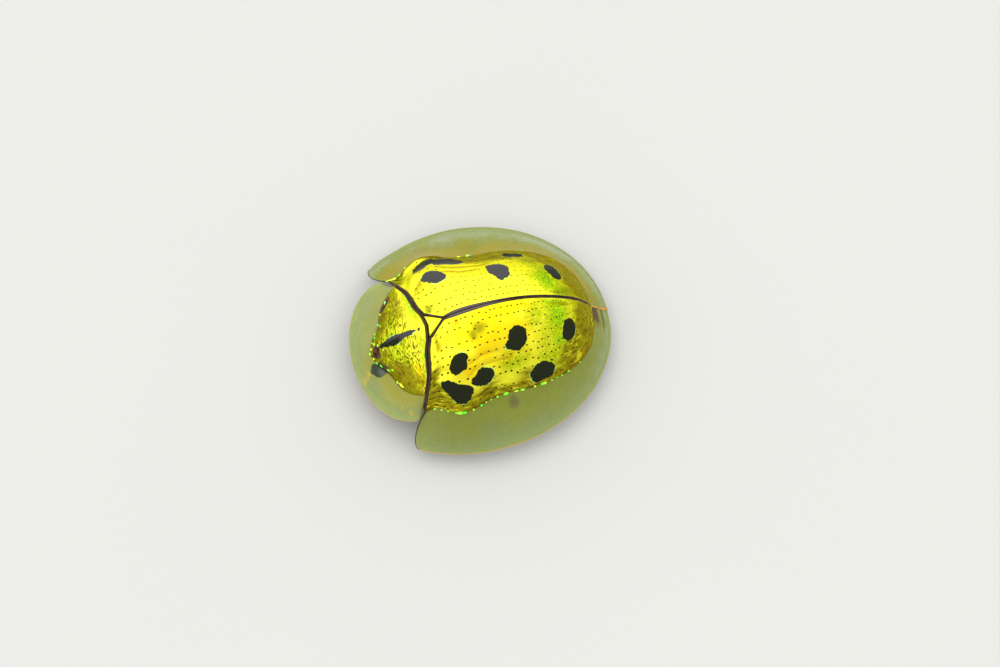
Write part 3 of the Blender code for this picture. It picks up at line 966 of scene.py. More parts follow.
@effect("golden edge", Streak=FLOAT, Rim=FLOAT, Least=FLOAT)
def golden_edge(nodes, streak, rim, least):
    """Amber and olive along a golden plate's edge, mottled by streak and more orange at its rim: partly the
    gold's own duller edge, partly painted shade and painted reflection of darker surroundings.
    """
    amber = nodes.carried("amber")
    nodes.paint(amber * streak.band(0.36, 0.5, least, 1.0), tones().olive)
    nodes.paint(amber * streak.band(0.54, 0.64) * 0.85, STREAK_BROWN)
    nodes.paint(amber * rim, EDGE_ORANGE)


@effect("black spots", ["Mask"])
def black_spots(nodes):
    """The ragged black spots, with a thin painted highlight along parts of their edge and a grey painted
    sheen on some, and where they are.
    """
    depth = nodes.carried("spot") + nodes.noise(8.0, 3.0, 0.7) * 0.17 - 1.085
    # A thin bright green painted highlight along parts of each spot's edge
    nodes.paint(depth.band(-0.036, -0.008) * nodes.noise(2.3).band(0.5, 0.62) * 0.8, FRINGE_PAINTED_HIGHLIGHT)
    mask = depth.band(-0.009, 0.009)
    # A grey painted sheen stands for reflected light on the spots marked for it
    nodes.paint(mask, nodes.mix(nodes.carried("haze"), tones().black, SPOT_PAINTED_SHEEN))
    return [mask]


@effect(
    "clear horn", ["Body", "Height"],
    Near_Left=FLOAT, Near_Right=FLOAT, Milk=FLOAT, Rim_Start=FLOAT, Blotches=FLOAT, Tail=FLOAT,
)
def clear_horn(nodes, near_left, near_right, milk, rim_start, blotches, tail):
    """Horn that is amber near the disc, partly its own tint and partly painted reflection of the gold that
    differs by side, and milky towards the rim, where the map's V is 1.
    """
    along, out = nodes.uv
    cloudy = nodes.noise(1.2, 3.0)
    mottle = nodes.noise(5.0, 3.0)
    net = nodes.cells(7.0, "DISTANCE_TO_EDGE").band(0.0, 0.09)
    # Amber near the disc: the horn's own tint, raised on one side as painted reflection of the golden disc
    near = 1.0 - out / along.band(0.05, 0.4, 0.98, 0.74) + cloudy.band(0.3, 0.7, -0.15, 0.15)
    near = near.band(-0.15, 0.75) * nodes.left_share(near_left, near_right)
    pale = out.band(rim_start, rim_start + 0.14)
    line = out.band(0.97, 0.988)
    apex = out.band(0.5, 0.3).most(out.away(0.62).band(0.07, 0.03, 0.0, 0.8))
    apex = apex * (along + mottle * 0.05).band(0.93, 0.965, 0.0, tail)
    apex = apex * nodes.side.band(-0.02, 0.02, 0.1, 1.0)
    specks = nodes.noise(9.0, 1.0).band(0.7, 0.78)
    blots = nodes.noise(1.9, 3.0).band(0.58, 0.68) * nodes.side.band(-0.3, 0.6, blotches * 0.1, blotches)
    window = nodes.carried("eye").band(0.3, 0.7)
    glaze = nodes.mix(cloudy.band(0.4, 0.6), *EYE_UNDER_HORN)
    foot = (nodes.carried("smudge") + mottle.band(0.3, 0.7, -0.15, 0.15)).band(0.1, 1.0, 0.0, 0.8)
    # Each layer's mask, how well it covers, its tone, and how much body it gives the horn
    layers = (
        (near, 1.0, tones().amber, 0.6), (pale, 0.7, PALE_HORN, 0.26), (line, 1.0, tones().rim, 0.4),
        (apex, 0.95, TAIL_BROWN, 0.6), (specks, 0.7, SPECK_BROWN, 0.25), (blots, 1.0, BLOT_YELLOW, 0.2),
        (window, 1.0, glaze, 0.4), (foot, 1.0, FOOT_BROWN, 0.12),
    )
    body = milk + net * -0.02 + cloudy.band(0.3, 0.7, -0.04, 0.06)
    for mask, cover, tone, thickness in layers:
        nodes.paint(mask * cover, tone)
        body = body + mask * thickness
    return body, cloudy + net * 0.3


@effect("seam line", Lens=COLOUR, Start=FLOAT, End=FLOAT)
def seam_line(nodes, lens, start, end):
    """A dark seam with a painted highlight along its top between two places of the map's V, and brown at
    its end.
    """
    around, along = nodes.uv
    nodes.paint(nodes.noise(6.0, 3.0).band(0.35, 0.7), SEAM_LIGHT)
    stretch = along.band(start, start + 0.05) * along.band(end, end - 0.15)
    # A painted highlight along the top of the bead
    nodes.paint(stretch * around.away(0.25).band(0.2, 0.1), lens)
    nodes.paint(along.band(0.97, 1.0), SEAM_END)


@effect("horny plate", ["Height"], Light=COLOUR)
def horny_plate(nodes, light):
    """Soft mottling over a darker tone, and the height of its pores."""
    wander = nodes.noise(3.5, 4.0)
    nodes.paint(wander.band(0.3, 0.7), light)
    return [wander + nodes.noise(26.0, 1.0).band(0.3, 0.45)]


# Materials


def gold(nodes, dull, normal):
    """Finish the lacquered metal of the golden plates; spots and dull parts are no metal."""
    [spots] = black_spots(nodes)
    nodes.shade(
        Metallic=0.92 - spots.most(dull), Roughness=0.3, Specular_IOR_Level=0.02,
        Specular_Tint=(1.0, 0.94, 0.2), Coat_Weight=spots.band(0, 1, 0.09, 0.05), Coat_Roughness=0.12,
        Coat_IOR=1.5, Normal=normal,
    )


@finish("wing case gold")
def wing_case_gold(nodes):
    """Metallic gold with black spots, punctures with painted shade, crazed green parts, painted shade and
    reflection along its edge and a painted shade line at its foot.
    """
    nodes.colour = tones().lemon
    [crazing] = golden_layer(nodes, Stretch=(1, 1, 1), Scale=17.0)
    along, out = nodes.uv
    # Streaks and an orange rim mottle the edge's painted shade and reflection, which leaves more gold
    # between the streaks on the left disc
    lines = add(nodes.tree, "ShaderNodeCombineXYZ", {0: along * 20.0, 1: out * 26.0})
    rim = out.band(0.86, 0.96, 0.0, 0.7) * along.band(0.5, 0.7, 0.25, 1.0)
    streak = nodes.noise(1.0, 3.0, 0.6, lines)
    golden_edge(nodes, Streak=streak, Rim=rim, Least=nodes.left_share(0.35, 0.85))
    # A painted shade line along the disc's foot, where it meets the margin, weaker on the right
    foot = out.band(0.925, 0.955) * nodes.left_share(1.0, 0.5) * nodes.noise(4.0).band(0.35, 0.5, 0.4, 0.9)
    nodes.paint(foot, nodes.mix(along.band(0.4, 0.6), FOOT_SHADE_FRONT, FOOT_SHADE_REAR))
    # Painted shade in the punctures and edge pits: olive on their lips, brown and duller metal in them
    pits = nodes.carried("pit")
    dark = pits.band(0.12, 0.5)
    nodes.paint(pits.band(0.0, 0.15, 0.0, 0.3), tones().olive)
    nodes.paint(dark, tones().brown)
    gold(nodes, dark * 0.8, nodes.bump(crazing, 0.022, 0.8))


@finish("pronotum gold")
def pronotum_gold(nodes):
    """Metallic gold with fine wrinkles, a black streak and brown patches at the front."""
    nodes.colour = tones().lemon
    [crazing] = golden_layer(nodes, Stretch=(0.25, 1.0, 0.65), Scale=19.0)
    golden_edge(nodes, Streak=nodes.noise(5.0, 4.0, 0.65), Rim=0.0, Least=0.3)
    patch = nodes.carried("pit").band(0.35, 0.6)
    nodes.paint(patch, nodes.mix(nodes.noise(7.0, 3.0).band(0.4, 0.65), PATCH_DARK, PATCH_LIGHT))
    window = nodes.carried("eye").band(0.35, 0.65)
    nodes.paint(window, EYE_UNDER_GOLD)
    gold(nodes, patch.most(window), nodes.bump(crazing, 0.03, 0.9))


@finish("grain green")
def grain_green(nodes):
    """The bright green, yellow and blue-green grains along the edge of a golden disc: painted glints, with
    painted highlights where they shine most.
    """
    tone = nodes.noise(3.1, 1.0).band(0.3, 0.75)
    shine = nodes.noise(9.0)
    nodes.colour = nodes.mix(tone.band(0.3, 0.6), GLINT_GREEN, GLINT_YELLOW)
    nodes.paint(tone.band(0.84, 0.9), GLINT_BLUE_GREEN)
    nodes.paint(shine.band(0.5, 0.6), GRAIN_SHINE)
    nodes.shade(Metallic=0.55, Roughness=shine.band(0.3, 0.7, 0.12, 0.3))


@finish("shell inside")
def shell_inside(nodes):
    """The amber inner side of the shell."""
    wander = nodes.noise(3.0, 4.0)
    nodes.colour = nodes.mix(wander.band(0.3, 0.7), INSIDE_DARK, INSIDE_LIGHT)
    nodes.shade(Roughness=0.4, Normal=nodes.bump(wander, 0.02, 0.5))


def horn(nodes, **settings):
    """Finish a clear margin."""
    body, height = clear_horn(nodes, **settings)
    normal = nodes.bump(height, 0.012, 0.6)
    nodes.shade(Alpha=body, Roughness=0.14, IOR=1.5, Specular_IOR_Level=0.2, Normal=normal)


@finish("wing case horn")
def wing_case_horn(nodes):
    """The wing cases' clear margin, with its brown patch at the tail."""
    nodes.colour = tones().clear
    # The right margin's stronger amber is painted reflection of the golden disc
    horn(nodes, Near_Left=0.35, Near_Right=1.0, Milk=0.42, Rim_Start=0.8, Blotches=0.0, Tail=1.0)


@finish("pronotum horn")
def pronotum_horn(nodes):
    """The pronotum's milkier margin, with its yellow blotches."""
    nodes.colour = tones().milky
    horn(nodes, Near_Left=0.7, Near_Right=0.3, Milk=0.66, Rim_Start=0.7, Blotches=0.7, Tail=0.0)


def seam(nodes, **settings):
    """Finish a seam."""
    nodes.colour = SEAM_DARK
    seam_line(nodes, **settings)
    nodes.shade(Roughness=0.32, Specular_IOR_Level=0.25, Coat_Weight=0.05)


@finish("seam brown")
def seam_brown(nodes):
    """The seam between the pronotum and the wing cases."""
    seam(nodes, Lens=SEAM_TOP_HIGHLIGHT, Start=0.05, End=0.9)


@finish("suture brown")
def suture_brown(nodes):
    """The seam between the two wing cases, with a grey painted highlight along its top behind the
    scutellum.
    """
    seam(nodes, Lens=SUTURE_TOP_HIGHLIGHT, Start=0.1, End=0.5)


def plate(nodes, dark, light, rough):
    """Finish a horny plate."""
    nodes.colour = dark
    [height] = horny_plate(nodes, Light=light)
    normal = nodes.bump(height, 0.006, 0.6)
    nodes.shade(Roughness=rough, Coat_Weight=0.3, Coat_Roughness=0.2, Normal=normal)


@finish("underside")
def underside_brown(nodes):
    """Thorax, belly and head."""
    plate(nodes, *UNDERSIDE_TONES, rough=0.32)


@finish("leg amber")
def leg_amber(nodes):
    """Legs, feelers and mouthparts."""
    plate(nodes, *LEG_TONES, rough=0.36)


@finish("seam amber")
def seam_amber(nodes):
    """The short amber seam behind the discs."""
    plate(nodes, *TAIL_SEAM_TONES, rough=0.4)


@finish("eye black")
def eye_black(nodes):
    """A black eye with its fine facets."""
    facets = nodes.cells(42.0, randomness=0.15)
    nodes.colour = nodes.mix(facets, *FACET_TONES)
    nodes.shade(Roughness=0.15, Normal=nodes.bump(facets, -0.006, 0.8))


@finish("studio floor")
def studio_floor(nodes):
    """The pale floor, with a trace of unevenness."""
    tone = tones().floor
    nodes.colour = nodes.mix(nodes.noise(0.05), tone, [0.97 * part for part in tone])
    nodes.shade(Roughness=0.75)


# Golden discs


# The grid of a golden disc and of the wall below its edge, and its rough size in millimetres
DISC_COLUMNS = 94
DISC_ROWS = 50
WALL_ROWS = 2
WALL_SHARE = (DISC_ROWS + WALL_ROWS) / DISC_ROWS
DISC_LENGTH = 6.1
DISC_BREADTH = 3.4

# The grid's rows that hold punctures, with the share of them that is there
PUNCTURE_ROWS = {4: 0.95, 9: 0.95, 13: 0.4, 18: 0.95, 23: 0.95, 28: 0.9, 32: 0.9, 36: 0.9, 40: 0.85}

# Punctures keep the first distance from a spot, and the spot's black runs out to those within the second
SPOT_CLEARANCE = 0.03
SPOT_SPIKE_REACH = 0.1

# Creases on a golden disc, each a line of v over u and the stretch of u that it runs along; their brown is
# painted shade
shoulder_crease = graph((0.0, 0.36), (0.015, 0.41), (0.04, 0.53), (0.07, 0.6), (0.11, 0.64))
CREASES = (
    (shoulder_crease, 0.0, 0.11),
    (graph((0.195, 0.715), (0.245, 0.675), (0.42, 0.682)), 0.19, 0.43),
    (graph((0.22, 0.6), (0.3, 0.585), (0.365, 0.59)), 0.2, 0.37),
)


def crease_depth(u, v, half_width):
    """How much of a crease a place on the disc lies in."""
    total = 0.0
    for line, start, end in CREASES:
        length = ease(start - 0.01, start + 0.02, u) * ease(end + 0.02, end - 0.02, u)
        total = max(total, length * hump(v, line(u), half_width))
    return total


def disc_relief(u, v, point):
    """How far the finished disc stands proud of its plain shape."""
    fade = ease(0.0, 0.02, u) * ease(0, 0.04, v) * ease(1.0, 0.97, v)
    waves = 0.016 * noise.noise(point * 0.8) + 0.008 * noise.noise(point * 2.2)
    callus = 0.06 * hump(u, 0.09, 0.08) * hump(v, 0.72, 0.16)
    ridge = 0.05 * hump(v, shoulder_crease(u) + 0.12, 0.09) * hump(u, 0.06, 0.1)
    crumple = ease(0.74, 0.86, v) * (0.06 * noise.noise(point * 3.0) + 0.045 * noise.noise(point * 7.0))
    return fade * (waves + callus + ridge + crumple - 0.035 * crease_depth(u, v, 0.045))


def disc_surface(u, v, sink):
    """The finished outer surface of a golden disc; the wall below its edge has v above 1."""
    edge = min(v, 1.0)
    point = disc_point(u, edge)
    away = upward(disc_point, u, edge)
    point = point + away * (disc_relief(u, edge, point) - sink)
    if v > 1.0:
        point.z = max(point.z - (v - 1.0) * WALL_DROP, WALL_FOOT)
    return point


def tailward(u):
    """How far along the disc a column of its grid is; they stand closer towards the tail."""
    return 0.5 * (u + sin(u * pi / 2))


def disc_outside(u, v, sink):
    """The disc's surface at a point of its grid."""
    point = disc_surface(tailward(u), v * WALL_SHARE, sink)
    point.x = max(point.x, 0.0)
    return point


# Where across each disc its amber edge begins, from the front seam to the tail; the edge is partly painted
# shade and painted reflection, and differs between the two discs
AMBER_START = {
    "left": graph(
        (0, 0.38), (0.05, 0.55), (0.1, 0.72), (0.25, 0.8), (0.62, 0.76), (0.78, 0.5), (0.92, 0.05),
    ),
    "right": graph(
        (0, 0.7), (0.05, 0.84), (0.16, 0.95), (0.22, 0.84), (0.32, 0.7), (0.7, 0.62), (0.92, 0.05),
    ),
}


def amber_edge(side, u, v):
    """How amber the golden layer is near the disc's edge, as painted shade and reflection over its own
    duller tone.
    """
    start = AMBER_START[side](u)
    return ease(start - 0.02, start + 0.12, v + 0.1 * noise.noise(Vector((9 * u, 9 * v, 0))))


def wing_case_marks(side):
    """The reader of what the points of a golden disc carry."""
    spot = spot_depth(side)
    clouds = {kind: cloud(side, kind) for kind in PATCHES}
    # The creases' painted shade is twice as strong on the right disc
    crease_share = {"left": 0.5, "right": 1.0}[side]

    def marks(u, v, point):
        here = Vector((SIDES[side] * point.x, point.y, point.z))
        found = {kind: cover(here) for kind, cover in clouds.items()}
        found["spot"] = 1 + spot(here)
        along = tailward(u)
        # The amber edge is partly painted shade and painted reflection, laid further in on the left disc
        found["amber"] = amber_edge(side, along, v * WALL_SHARE)
        creases = crease_depth(along, v * WALL_SHARE, 0.022) * crease_share
        found["line"] = max(creases, 0.7 * found.pop("fleck"))
        # Painted grey sheen on the right disc's spots, away from its edge and tail
        found["haze"] = 0.0 if side == "left" else ease(0.83, 0.7, v) * ease(0.75, 0.6, along)
        return found

    return marks


def outer_faces(bm):
    """The faces of a disc's outer grid by their column and row."""
    faces = {}
    for face in bm.faces:
        if all(vert.co.z > -0.5 for vert in face.verts):
            middle = face.calc_center_median()
            faces[int(middle.x * DISC_COLUMNS), int(middle.y * (DISC_ROWS + WALL_ROWS))] = face
    return faces


def wing_case_dimples(side):
    """The cutter of the fine punctures in their rows and of the pits along the edge."""
    spot = spot_depth(side)

    def inset(bm, faces, share):
        thickness = share * DISC_LENGTH / DISC_COLUMNS
        bmesh.ops.inset_individual(bm, faces=faces, thickness=thickness, use_even_offset=True)

    def mark(faces, layers, *values):
        for face in faces:
            for vert in face.verts:
                for layer, value in zip(layers, values):
                    vert[layer] = value

    def dimples(bm, sink):
        chance = random.Random(11)
        layers = bm.verts.layers.float
        pit, black = layers["pit"], layers["spot"]
        outer = outer_faces(bm)
        fine = []
        spikes = []
        for row, share in PUNCTURE_ROWS.items():
            column = 2 + chance.randrange(3)
            last = DISC_COLUMNS * (0.95 if row % 2 else 0.88)
            while column < last:
                face = outer[column, row + chance.choice((0, 0, 0, 0, 0, 1))]
                middle = face.calc_center_median()
                point = disc_outside(middle.x, middle.y, 0)
                point.x *= SIDES[side]
                depth = spot(point)
                if depth < -SPOT_CLEARANCE and chance.random() < share:
                    fine.append(face)
                    if depth > -SPOT_SPIKE_REACH:
                        spikes.append(face)
                column += chance.choice((2, 3, 3))
        bmesh.ops.scale(bm, verts=bm.verts[:], vec=(DISC_LENGTH, DISC_BREADTH, 1))
        # Each puncture has a shallow lip and a floor, which carry painted shade, weaker on the right disc;
        # one beside a spot draws the black out to itself
        inset(bm, fine, 0.04)
        mark(fine, (sink, pit), 0.3 * sizes().puncture_depth, 0.3)
        inset(bm, fine, 0.08)
        mark(fine, (sink, pit), sizes().puncture_depth, 1.0 if side == "left" else 0.4)
        mark(spikes, (black,), 1.02)
        # Coarse pits along the edge, with painted shade in them
        pits = []
        column = 3
        while column < DISC_COLUMNS * 0.95:
            row = DISC_ROWS - chance.choice((2, 3, 3, 4, 5))
            pits.append(outer[column, row])
            column += chance.choice((1, 2, 2, 3))
        inset(bm, pits, 0.14)
        inset(bm, pits, 0.14)
        mark(pits, (sink, pit), sizes().edge_pit_depth, 0.8)
        bmesh.ops.scale(bm, verts=bm.verts[:], vec=(1 / DISC_LENGTH, 1 / DISC_BREADTH, 1))

    return dimples


def wing_case(side):
    """A golden disc, hollow below, shaped as the left one."""
    inside = shrunk(disc_outside, DISC_CENTRE, 0.86)
    rows = DISC_ROWS + WALL_ROWS
    return aside(
        shell(DISC_COLUMNS, rows, disc_outside, inside, wing_case_dimples(side), wing_case_marks(side))
    )


def grain(place, ahead, size, length):
    """A small grain, drawn out along the edge that it sits on, to be painted bright as a glint."""
    bm = lump((0, 0, 0), (size * 0.8, size * length, size * 0.7), 12, 8)
    turn = ahead.to_track_quat("Y", "Z").to_matrix().to_4x4()
    bmesh.ops.transform(bm, matrix=Matrix.Translation(place) @ turn, verts=bm.verts[:])
    return bm


# How much larger every grain is made than its half-width in the lists
GRAIN_SIZE = 1.3

# Grains along the discs' lower edges, painted bright as glints: place along, half-width in millimetres and
# how drawn out
EDGE_GRAINS = {
    "left": (
        (0.048, 0.035, 1.2), (0.076, 0.028, 1.2), (0.103, 0.028, 1.2), (0.143, 0.045, 1.5),
        (0.157, 0.055, 1.3), (0.172, 0.045, 1.5), (0.212, 0.036, 1.0), (0.25, 0.04, 1.0),
        (0.275, 0.026, 1.0), (0.297, 0.028, 1.0), (0.327, 0.042, 0.8), (0.366, 0.06, 1.2),
        (0.412, 0.036, 1.8), (0.438, 0.042, 1.6), (0.493, 0.038, 1.0), (0.532, 0.055, 1.6),
        (0.571, 0.026, 1.2), (0.598, 0.02, 1.2), (0.62, 0.026, 1.0), (0.655, 0.026, 1.6), (0.72, 0.02, 1.5),
    ),
    "right": (
        (0.006, 0.03, 2.4), (0.016, 0.035, 2.2), (0.03, 0.05, 1.4), (0.055, 0.04, 1.2), (0.09, 0.03, 1.0),
        (0.33, 0.035, 1.3), (0.37, 0.045, 1.4), (0.6, 0.02, 1.0),
    ),
}


def edge_grains(side):
    """Grains along a disc's lower edge, painted bright as glints."""
    parts = []
    for along, size, length in EDGE_GRAINS[side]:
        size *= GRAIN_SIZE
        place = disc_surface(along, 1.0, 0.0) + Vector((0, 0, 0.3 * size))
        ahead = (disc_point(along + 0.01, 1) - disc_point(along - 0.01, 1)).normalized()
        parts.append(grain(place, ahead, size, length))
    return join(*parts)


# Clear margins


def margin(place, columns, rows, ripple, marks):
    """A clear margin, thinner towards its rim, that starts a little below the disc's edge."""

    def outside(u, t, sink):
        point = place(u, t * (1 + MARGIN_TUCK) - MARGIN_TUCK)
        point.z += ripple * noise.noise(point * 1.4) * t
        return point

    def inside(u, t):
        thickness = sizes().margin_thickness * (1.0 - MARGIN_THINNING * t)
        return outside(u, t, 0) - Vector((0, 0, thickness))

    return shell(columns, rows, outside, inside, marks=marks)


# Where the left middle foot shows through the clear margin
FOOT_BLOT = Vector((2.66, 3.34))
FOOT_BLOT_SIZE = 0.19


def wing_case_margin(side):
    """The clear margin of a wing case, shaped as the left one."""

    def place(u, t):
        point = margin_point(u, t)
        point.x = max(point.x, 0.0)
        return point

    def marks(u, v, point):
        away = (point.xy - FOOT_BLOT).length / FOOT_BLOT_SIZE
        return {"smudge": ease(1.4, 0.5, away) if side == "left" else 0.0}

    return aside(margin(place, 110, 18, ripple=0.012, marks=marks))


# Seams


def bead(place, away, half_width, height, rows=80, sides=10):
    """A raised line on a surface: place(t) and away(t) give its middle and the outward direction."""

    def put(u, v):
        turn = 2 * pi * u
        ahead = (place(min(v + 0.005, 1)) - place(max(v - 0.005, 0))).normalized()
        up = away(v)
        across = ahead.cross(up).normalized()
        end = min(1.0, BEAD_TAPER * v, BEAD_TAPER * (1 - v))
        side = half_width(v) * end * cos(turn)
        lift = height(v) * end * (sin(turn) if sin(turn) > 0 else 0.5 * sin(turn))
        return place(v) + across * side + up * lift

    return sheet(sides, rows, put)


def front_bead(side):
    """The dark raised front edge of a wing case, from the scutellum to past the shoulder."""
    shoulder = 0.75
    edge_reached = 0.82
    corner = 0.035

    def place(t):
        if t > shoulder:
            out = min((t - shoulder) / (edge_reached - shoulder), 1.0)
            return margin_point(0.002 + corner * max(t - edge_reached, 0) / (1 - edge_reached), 0.995 * out)
        return disc_surface(0.006, t / shoulder, 0)

    def away(t):
        return upward(disc_point, 0.01, t / shoulder) if t < shoulder else Vector((0, 0, 1))

    width = graph((0, 0.05), (0.35, 0.05), (0.75, 0.03), (0.84, 0.018), (1, 0.01))
    return bead(place, away, width, graph((0, 0.045), (0.75, 0.025), (0.84, 0.012), (1, 0.008)), rows=140)


def suture_bead(side):
    """The dark raised inner edge of a wing case, from the scutellum to the tail."""
    width = graph((0, 0.045), (0.09, 0.036), (0.17, 0.056), (0.42, 0.034), (1, 0.027))

    def place(t):
        point = disc_surface(t * 0.9995, 0, 0)
        point.x += width(t) + 0.004
        return point

    def away(t):
        return upward(disc_point, min(t, 0.98), 0.02)

    return bead(place, away, width, graph((0, 0.03), (1, 0.022)), rows=120)


def tail_bead():
    """The amber seam between the two clear margins, from the discs' rear to the tail."""

    def place(t):
        return margin_point(1, t) + Vector((0, 0, 0.004))

    def away(t):
        return Vector((0, 0, 1))

    width = graph((0, 0.03), (0.45, 0.03), (0.65, 0.055), (1, 0.06))
    return bead(place, away, width, graph((0, 0.02), (1, 0.012)), rows=60)


def pronotum_bead():
    """The dark raised rear edge of the pronotum."""

    def place(t):
        return pronotum_point(2 * t - 1, 0.02)

    def away(t):
        return upward(lambda u, v: pronotum_point(2 * u - 1, v), t, 0.02)

    width = graph((0, 0.022), (0.3, 0.045), (0.7, 0.045), (1, 0.022))
    return bead(place, away, width, width, rows=140)


# Scutellum and pronotum


def scutellum():
    """The small golden triangle between the wing cases' front ends."""
    half_width = SCUTELLUM_HALF_WIDTH - 0.03
    tip = SCUTELLUM_TIP - 0.05
    sunk = 0.02
    rise = 0.27
    crown = 0.03
    thickness = Vector((0, 0, 0.12))

    def outside(u, v, sink):
        across = 2 * u - 1
        x = half_width * across * (1 - v)
        back = seam_back(abs(x)) + SEAM_HALF_GAP
        height = seam_height(abs(x)) - sunk + rise * v + crown * (1 - across**2) * (1 - v)
        return Vector((x, back + v * (tip - back), height))

    def inside(u, v):
        return outside(u, v, 0) - thickness

    return shell(20, 20, outside, inside)


def pronotum_surface(a, t):
    """The finished pronotum disc, with shallow side hollows and a ridge along its front edge."""
    point = pronotum_point(a, t)
    waves = 0.02 * noise.noise(point * 1.3) + 0.01 * noise.noise(point * 3.4)
    hollow = -0.05 * hump(abs(a), 0.55, 0.3) * hump(t, 0.55, 0.4)
    ridge = 0.035 * hump(t, 0.86, 0.09) * hump(abs(a), 0.45, 0.4)
    fade = ease(0, 0.08, t) * ease(1, 0.92, t)
    point.z += fade * (waves + hollow + ridge)
    return point


# The half-width of the pronotum's black streak along its length, and the dot behind it
streak_width = graph(
    (-0.46, -0.1), (-0.38, 0.04), (-0.24, 0.09), (-0.1, 0.12), (0.06, 0.17), (0.2, 0.15), (0.36, 0.11),
    (0.6, 0.075), (0.76, 0.03), (0.84, -0.06),
)
STREAK_DOT = Vector((0.0, 0.88))
STREAK_DOT_SIZE = 0.055

# Blots on the pronotum: place seen from above, half-sizes and turn
TIP_PATCH = (Vector((0.08, -0.5)), (0.21, 0.11), 0.0)
BORDER_PATCH = (Vector((-1.44, 0.16)), (0.3, 0.07), 2.4)
EYE_SHADE = (Vector((0.57, -0.52)), (0.3, 0.17), 0.85)


def blot(point, centre, half_sizes, turn):
    """How far out a place lies in a tilted oval seen from above: 0 in its middle, 1 on its edge."""
    away = Matrix.Rotation(-turn, 2) @ (point.xy - centre)
    return hypot(away.x / half_sizes[0], away.y / half_sizes[1]) + 0.4 * noise.noise(point * 5.0)


def eye_shade(point):
    """How much an eye shows through the plate above it, more on the left."""
    shade = ease(1.3, 0.7, blot(Vector((abs(point.x), point.y, point.z)), *EYE_SHADE))
    return shade if point.x > 0 else 0.3 * shade


def pronotum_marks(u, v, point):
    """What the points of the pronotum carry."""
    x, y = point.x, point.y
    cloudy = noise.noise(point * 2.2)
    ragged = 0.03 * noise.noise(point * 9.0)
    streak = max(streak_width(y) - abs(x), STREAK_DOT_SIZE - (point.xy - STREAK_DOT).length) + ragged
    front = ease(0.62, 0.9, v + 0.12 * cloudy)
    left_slope = ease(0.45, 0.85, x - y + 0.3 * cloudy)
    smooth_rear = ease(0.14, 0.4, v + 0.08 * cloudy) if x < 0 else ease(0.05, 0.25, v)
    return {
        "spot": 1 + streak,
        # Painted grey sheen over the streak's rear part and the right edge of its front part
        "haze": max(ease(0.18, 0.34, y), ease(0.0, -0.07, x) * ease(-0.25, -0.05, y)),
        "pit": max(ease(1.2, 0.8, blot(point, *TIP_PATCH)), ease(1.2, 0.8, blot(point, *BORDER_PATCH))),
        "orange": 0.7 * ease(0.1, 0.5, noise.noise(point * 1.6)) * ease(0.1, 0.5, x),
        "smudge": 0.7 * ease(0.1, 0.4, cloudy) * ease(0.3, 0.6, v),
        # Amber on the front and side slopes: partly the gold's own tone, partly painted shade
        "amber": max(0.85 * front, left_slope, 0.65 * ease(0.4, 1.1, -x) * ease(0.15, 0.4, v)),
        "wrinkle": smooth_rear * ease(1.7, 1.1, abs(x)),
        "green": max(
            0.7 * ease(0.3, 0.05, v) * ease(0.15, 0.4, abs(x)), 0.9 * ease(0.3, 0.6, v + 0.1 * cloudy),
        ),
        "eye": eye_shade(point),
    }


# Grains on the pronotum, painted bright as glints: places from side to side and forward, half-width and how
# drawn out
PRONOTUM_GRAINS = (
    (0.6, 0.94, 0.05, 1.8), (0.53, 0.97, 0.035, 1.4), (0.33, 0.95, 0.03, 2.0), (0.37, 0.9, 0.03, 1.5),
    (-0.7, 0.86, 0.035, 1.4), (-0.55, 0.95, 0.03, 1.0), (-0.42, 0.98, 0.03, 1.3), (-0.36, 0.9, 0.024, 1.0),
    (0.22, 0.97, 0.03, 1.6), (0.15, 0.99, 0.028, 1.4), (0.08, 0.99, 0.03, 1.2), (0.0, 0.99, 0.03, 1.5),
    (-0.06, 0.98, 0.028, 1.6), (-0.1, 0.93, 0.032, 1.4), (-0.04, 0.86, 0.026, 1.8), (0.06, 0.8, 0.024, 1.4),
    (-0.14, 0.97, 0.024, 1.2), (-0.2, 0.94, 0.028, 1.2), (-0.27, 0.97, 0.024, 1.4),
)
SEAM_GRAINS = ((-0.78, -0.3, 22), (0.3, 0.78, 20))


def pronotum_grains():
    """Grains painted bright as glints on the pronotum's front and tip, and finer ones along its rear edge.
    """
    chance = random.Random(3)
    grains = list(PRONOTUM_GRAINS)
    for first, last, number in SEAM_GRAINS:
        for _ in range(number):
            spot = (chance.uniform(first, last), chance.uniform(0.05, 0.13))
            grains.append((*spot, chance.uniform(0.01, 0.022), chance.uniform(1.0, 2.0)))
    parts = []
    for a, t, size, length in grains:
        ahead = (pronotum_surface(a + 0.02, t) - pronotum_surface(a - 0.02, t)).normalized()
        parts.append(grain(pronotum_surface(a, t), ahead, GRAIN_SIZE * size, length))
    return join(*parts)


def pronotum():
    """The golden plate behind the head."""

    def outside(u, v, sink):
        return pronotum_surface(2 * u - 1, v)

    inside = shrunk(outside, PRONOTUM_CENTRE, 0.85)
    return shell(100, 48, outside, inside, marks=pronotum_marks)


def pronotum_margin():
    """The clear margin round the front of the pronotum."""

    def place(u, t):
        return pronotum_margin_point(2 * u - 1, t)

    def marks(u, v, point):
        return {"eye": eye_shade(point)}

    return margin(place, 110, 16, ripple=0.014, marks=marks)


# Head


def head_shape(point):
    """Flatten the face and draw a shallow line down its middle."""
    away = point - HEAD_CENTRE
    face = ease(-0.1, -0.45, away.y)
    away.y += 0.06 * face * hump(abs(away.x), 0.0, 0.06)
    away.z -= 0.03 * face
    return HEAD_CENTRE + away


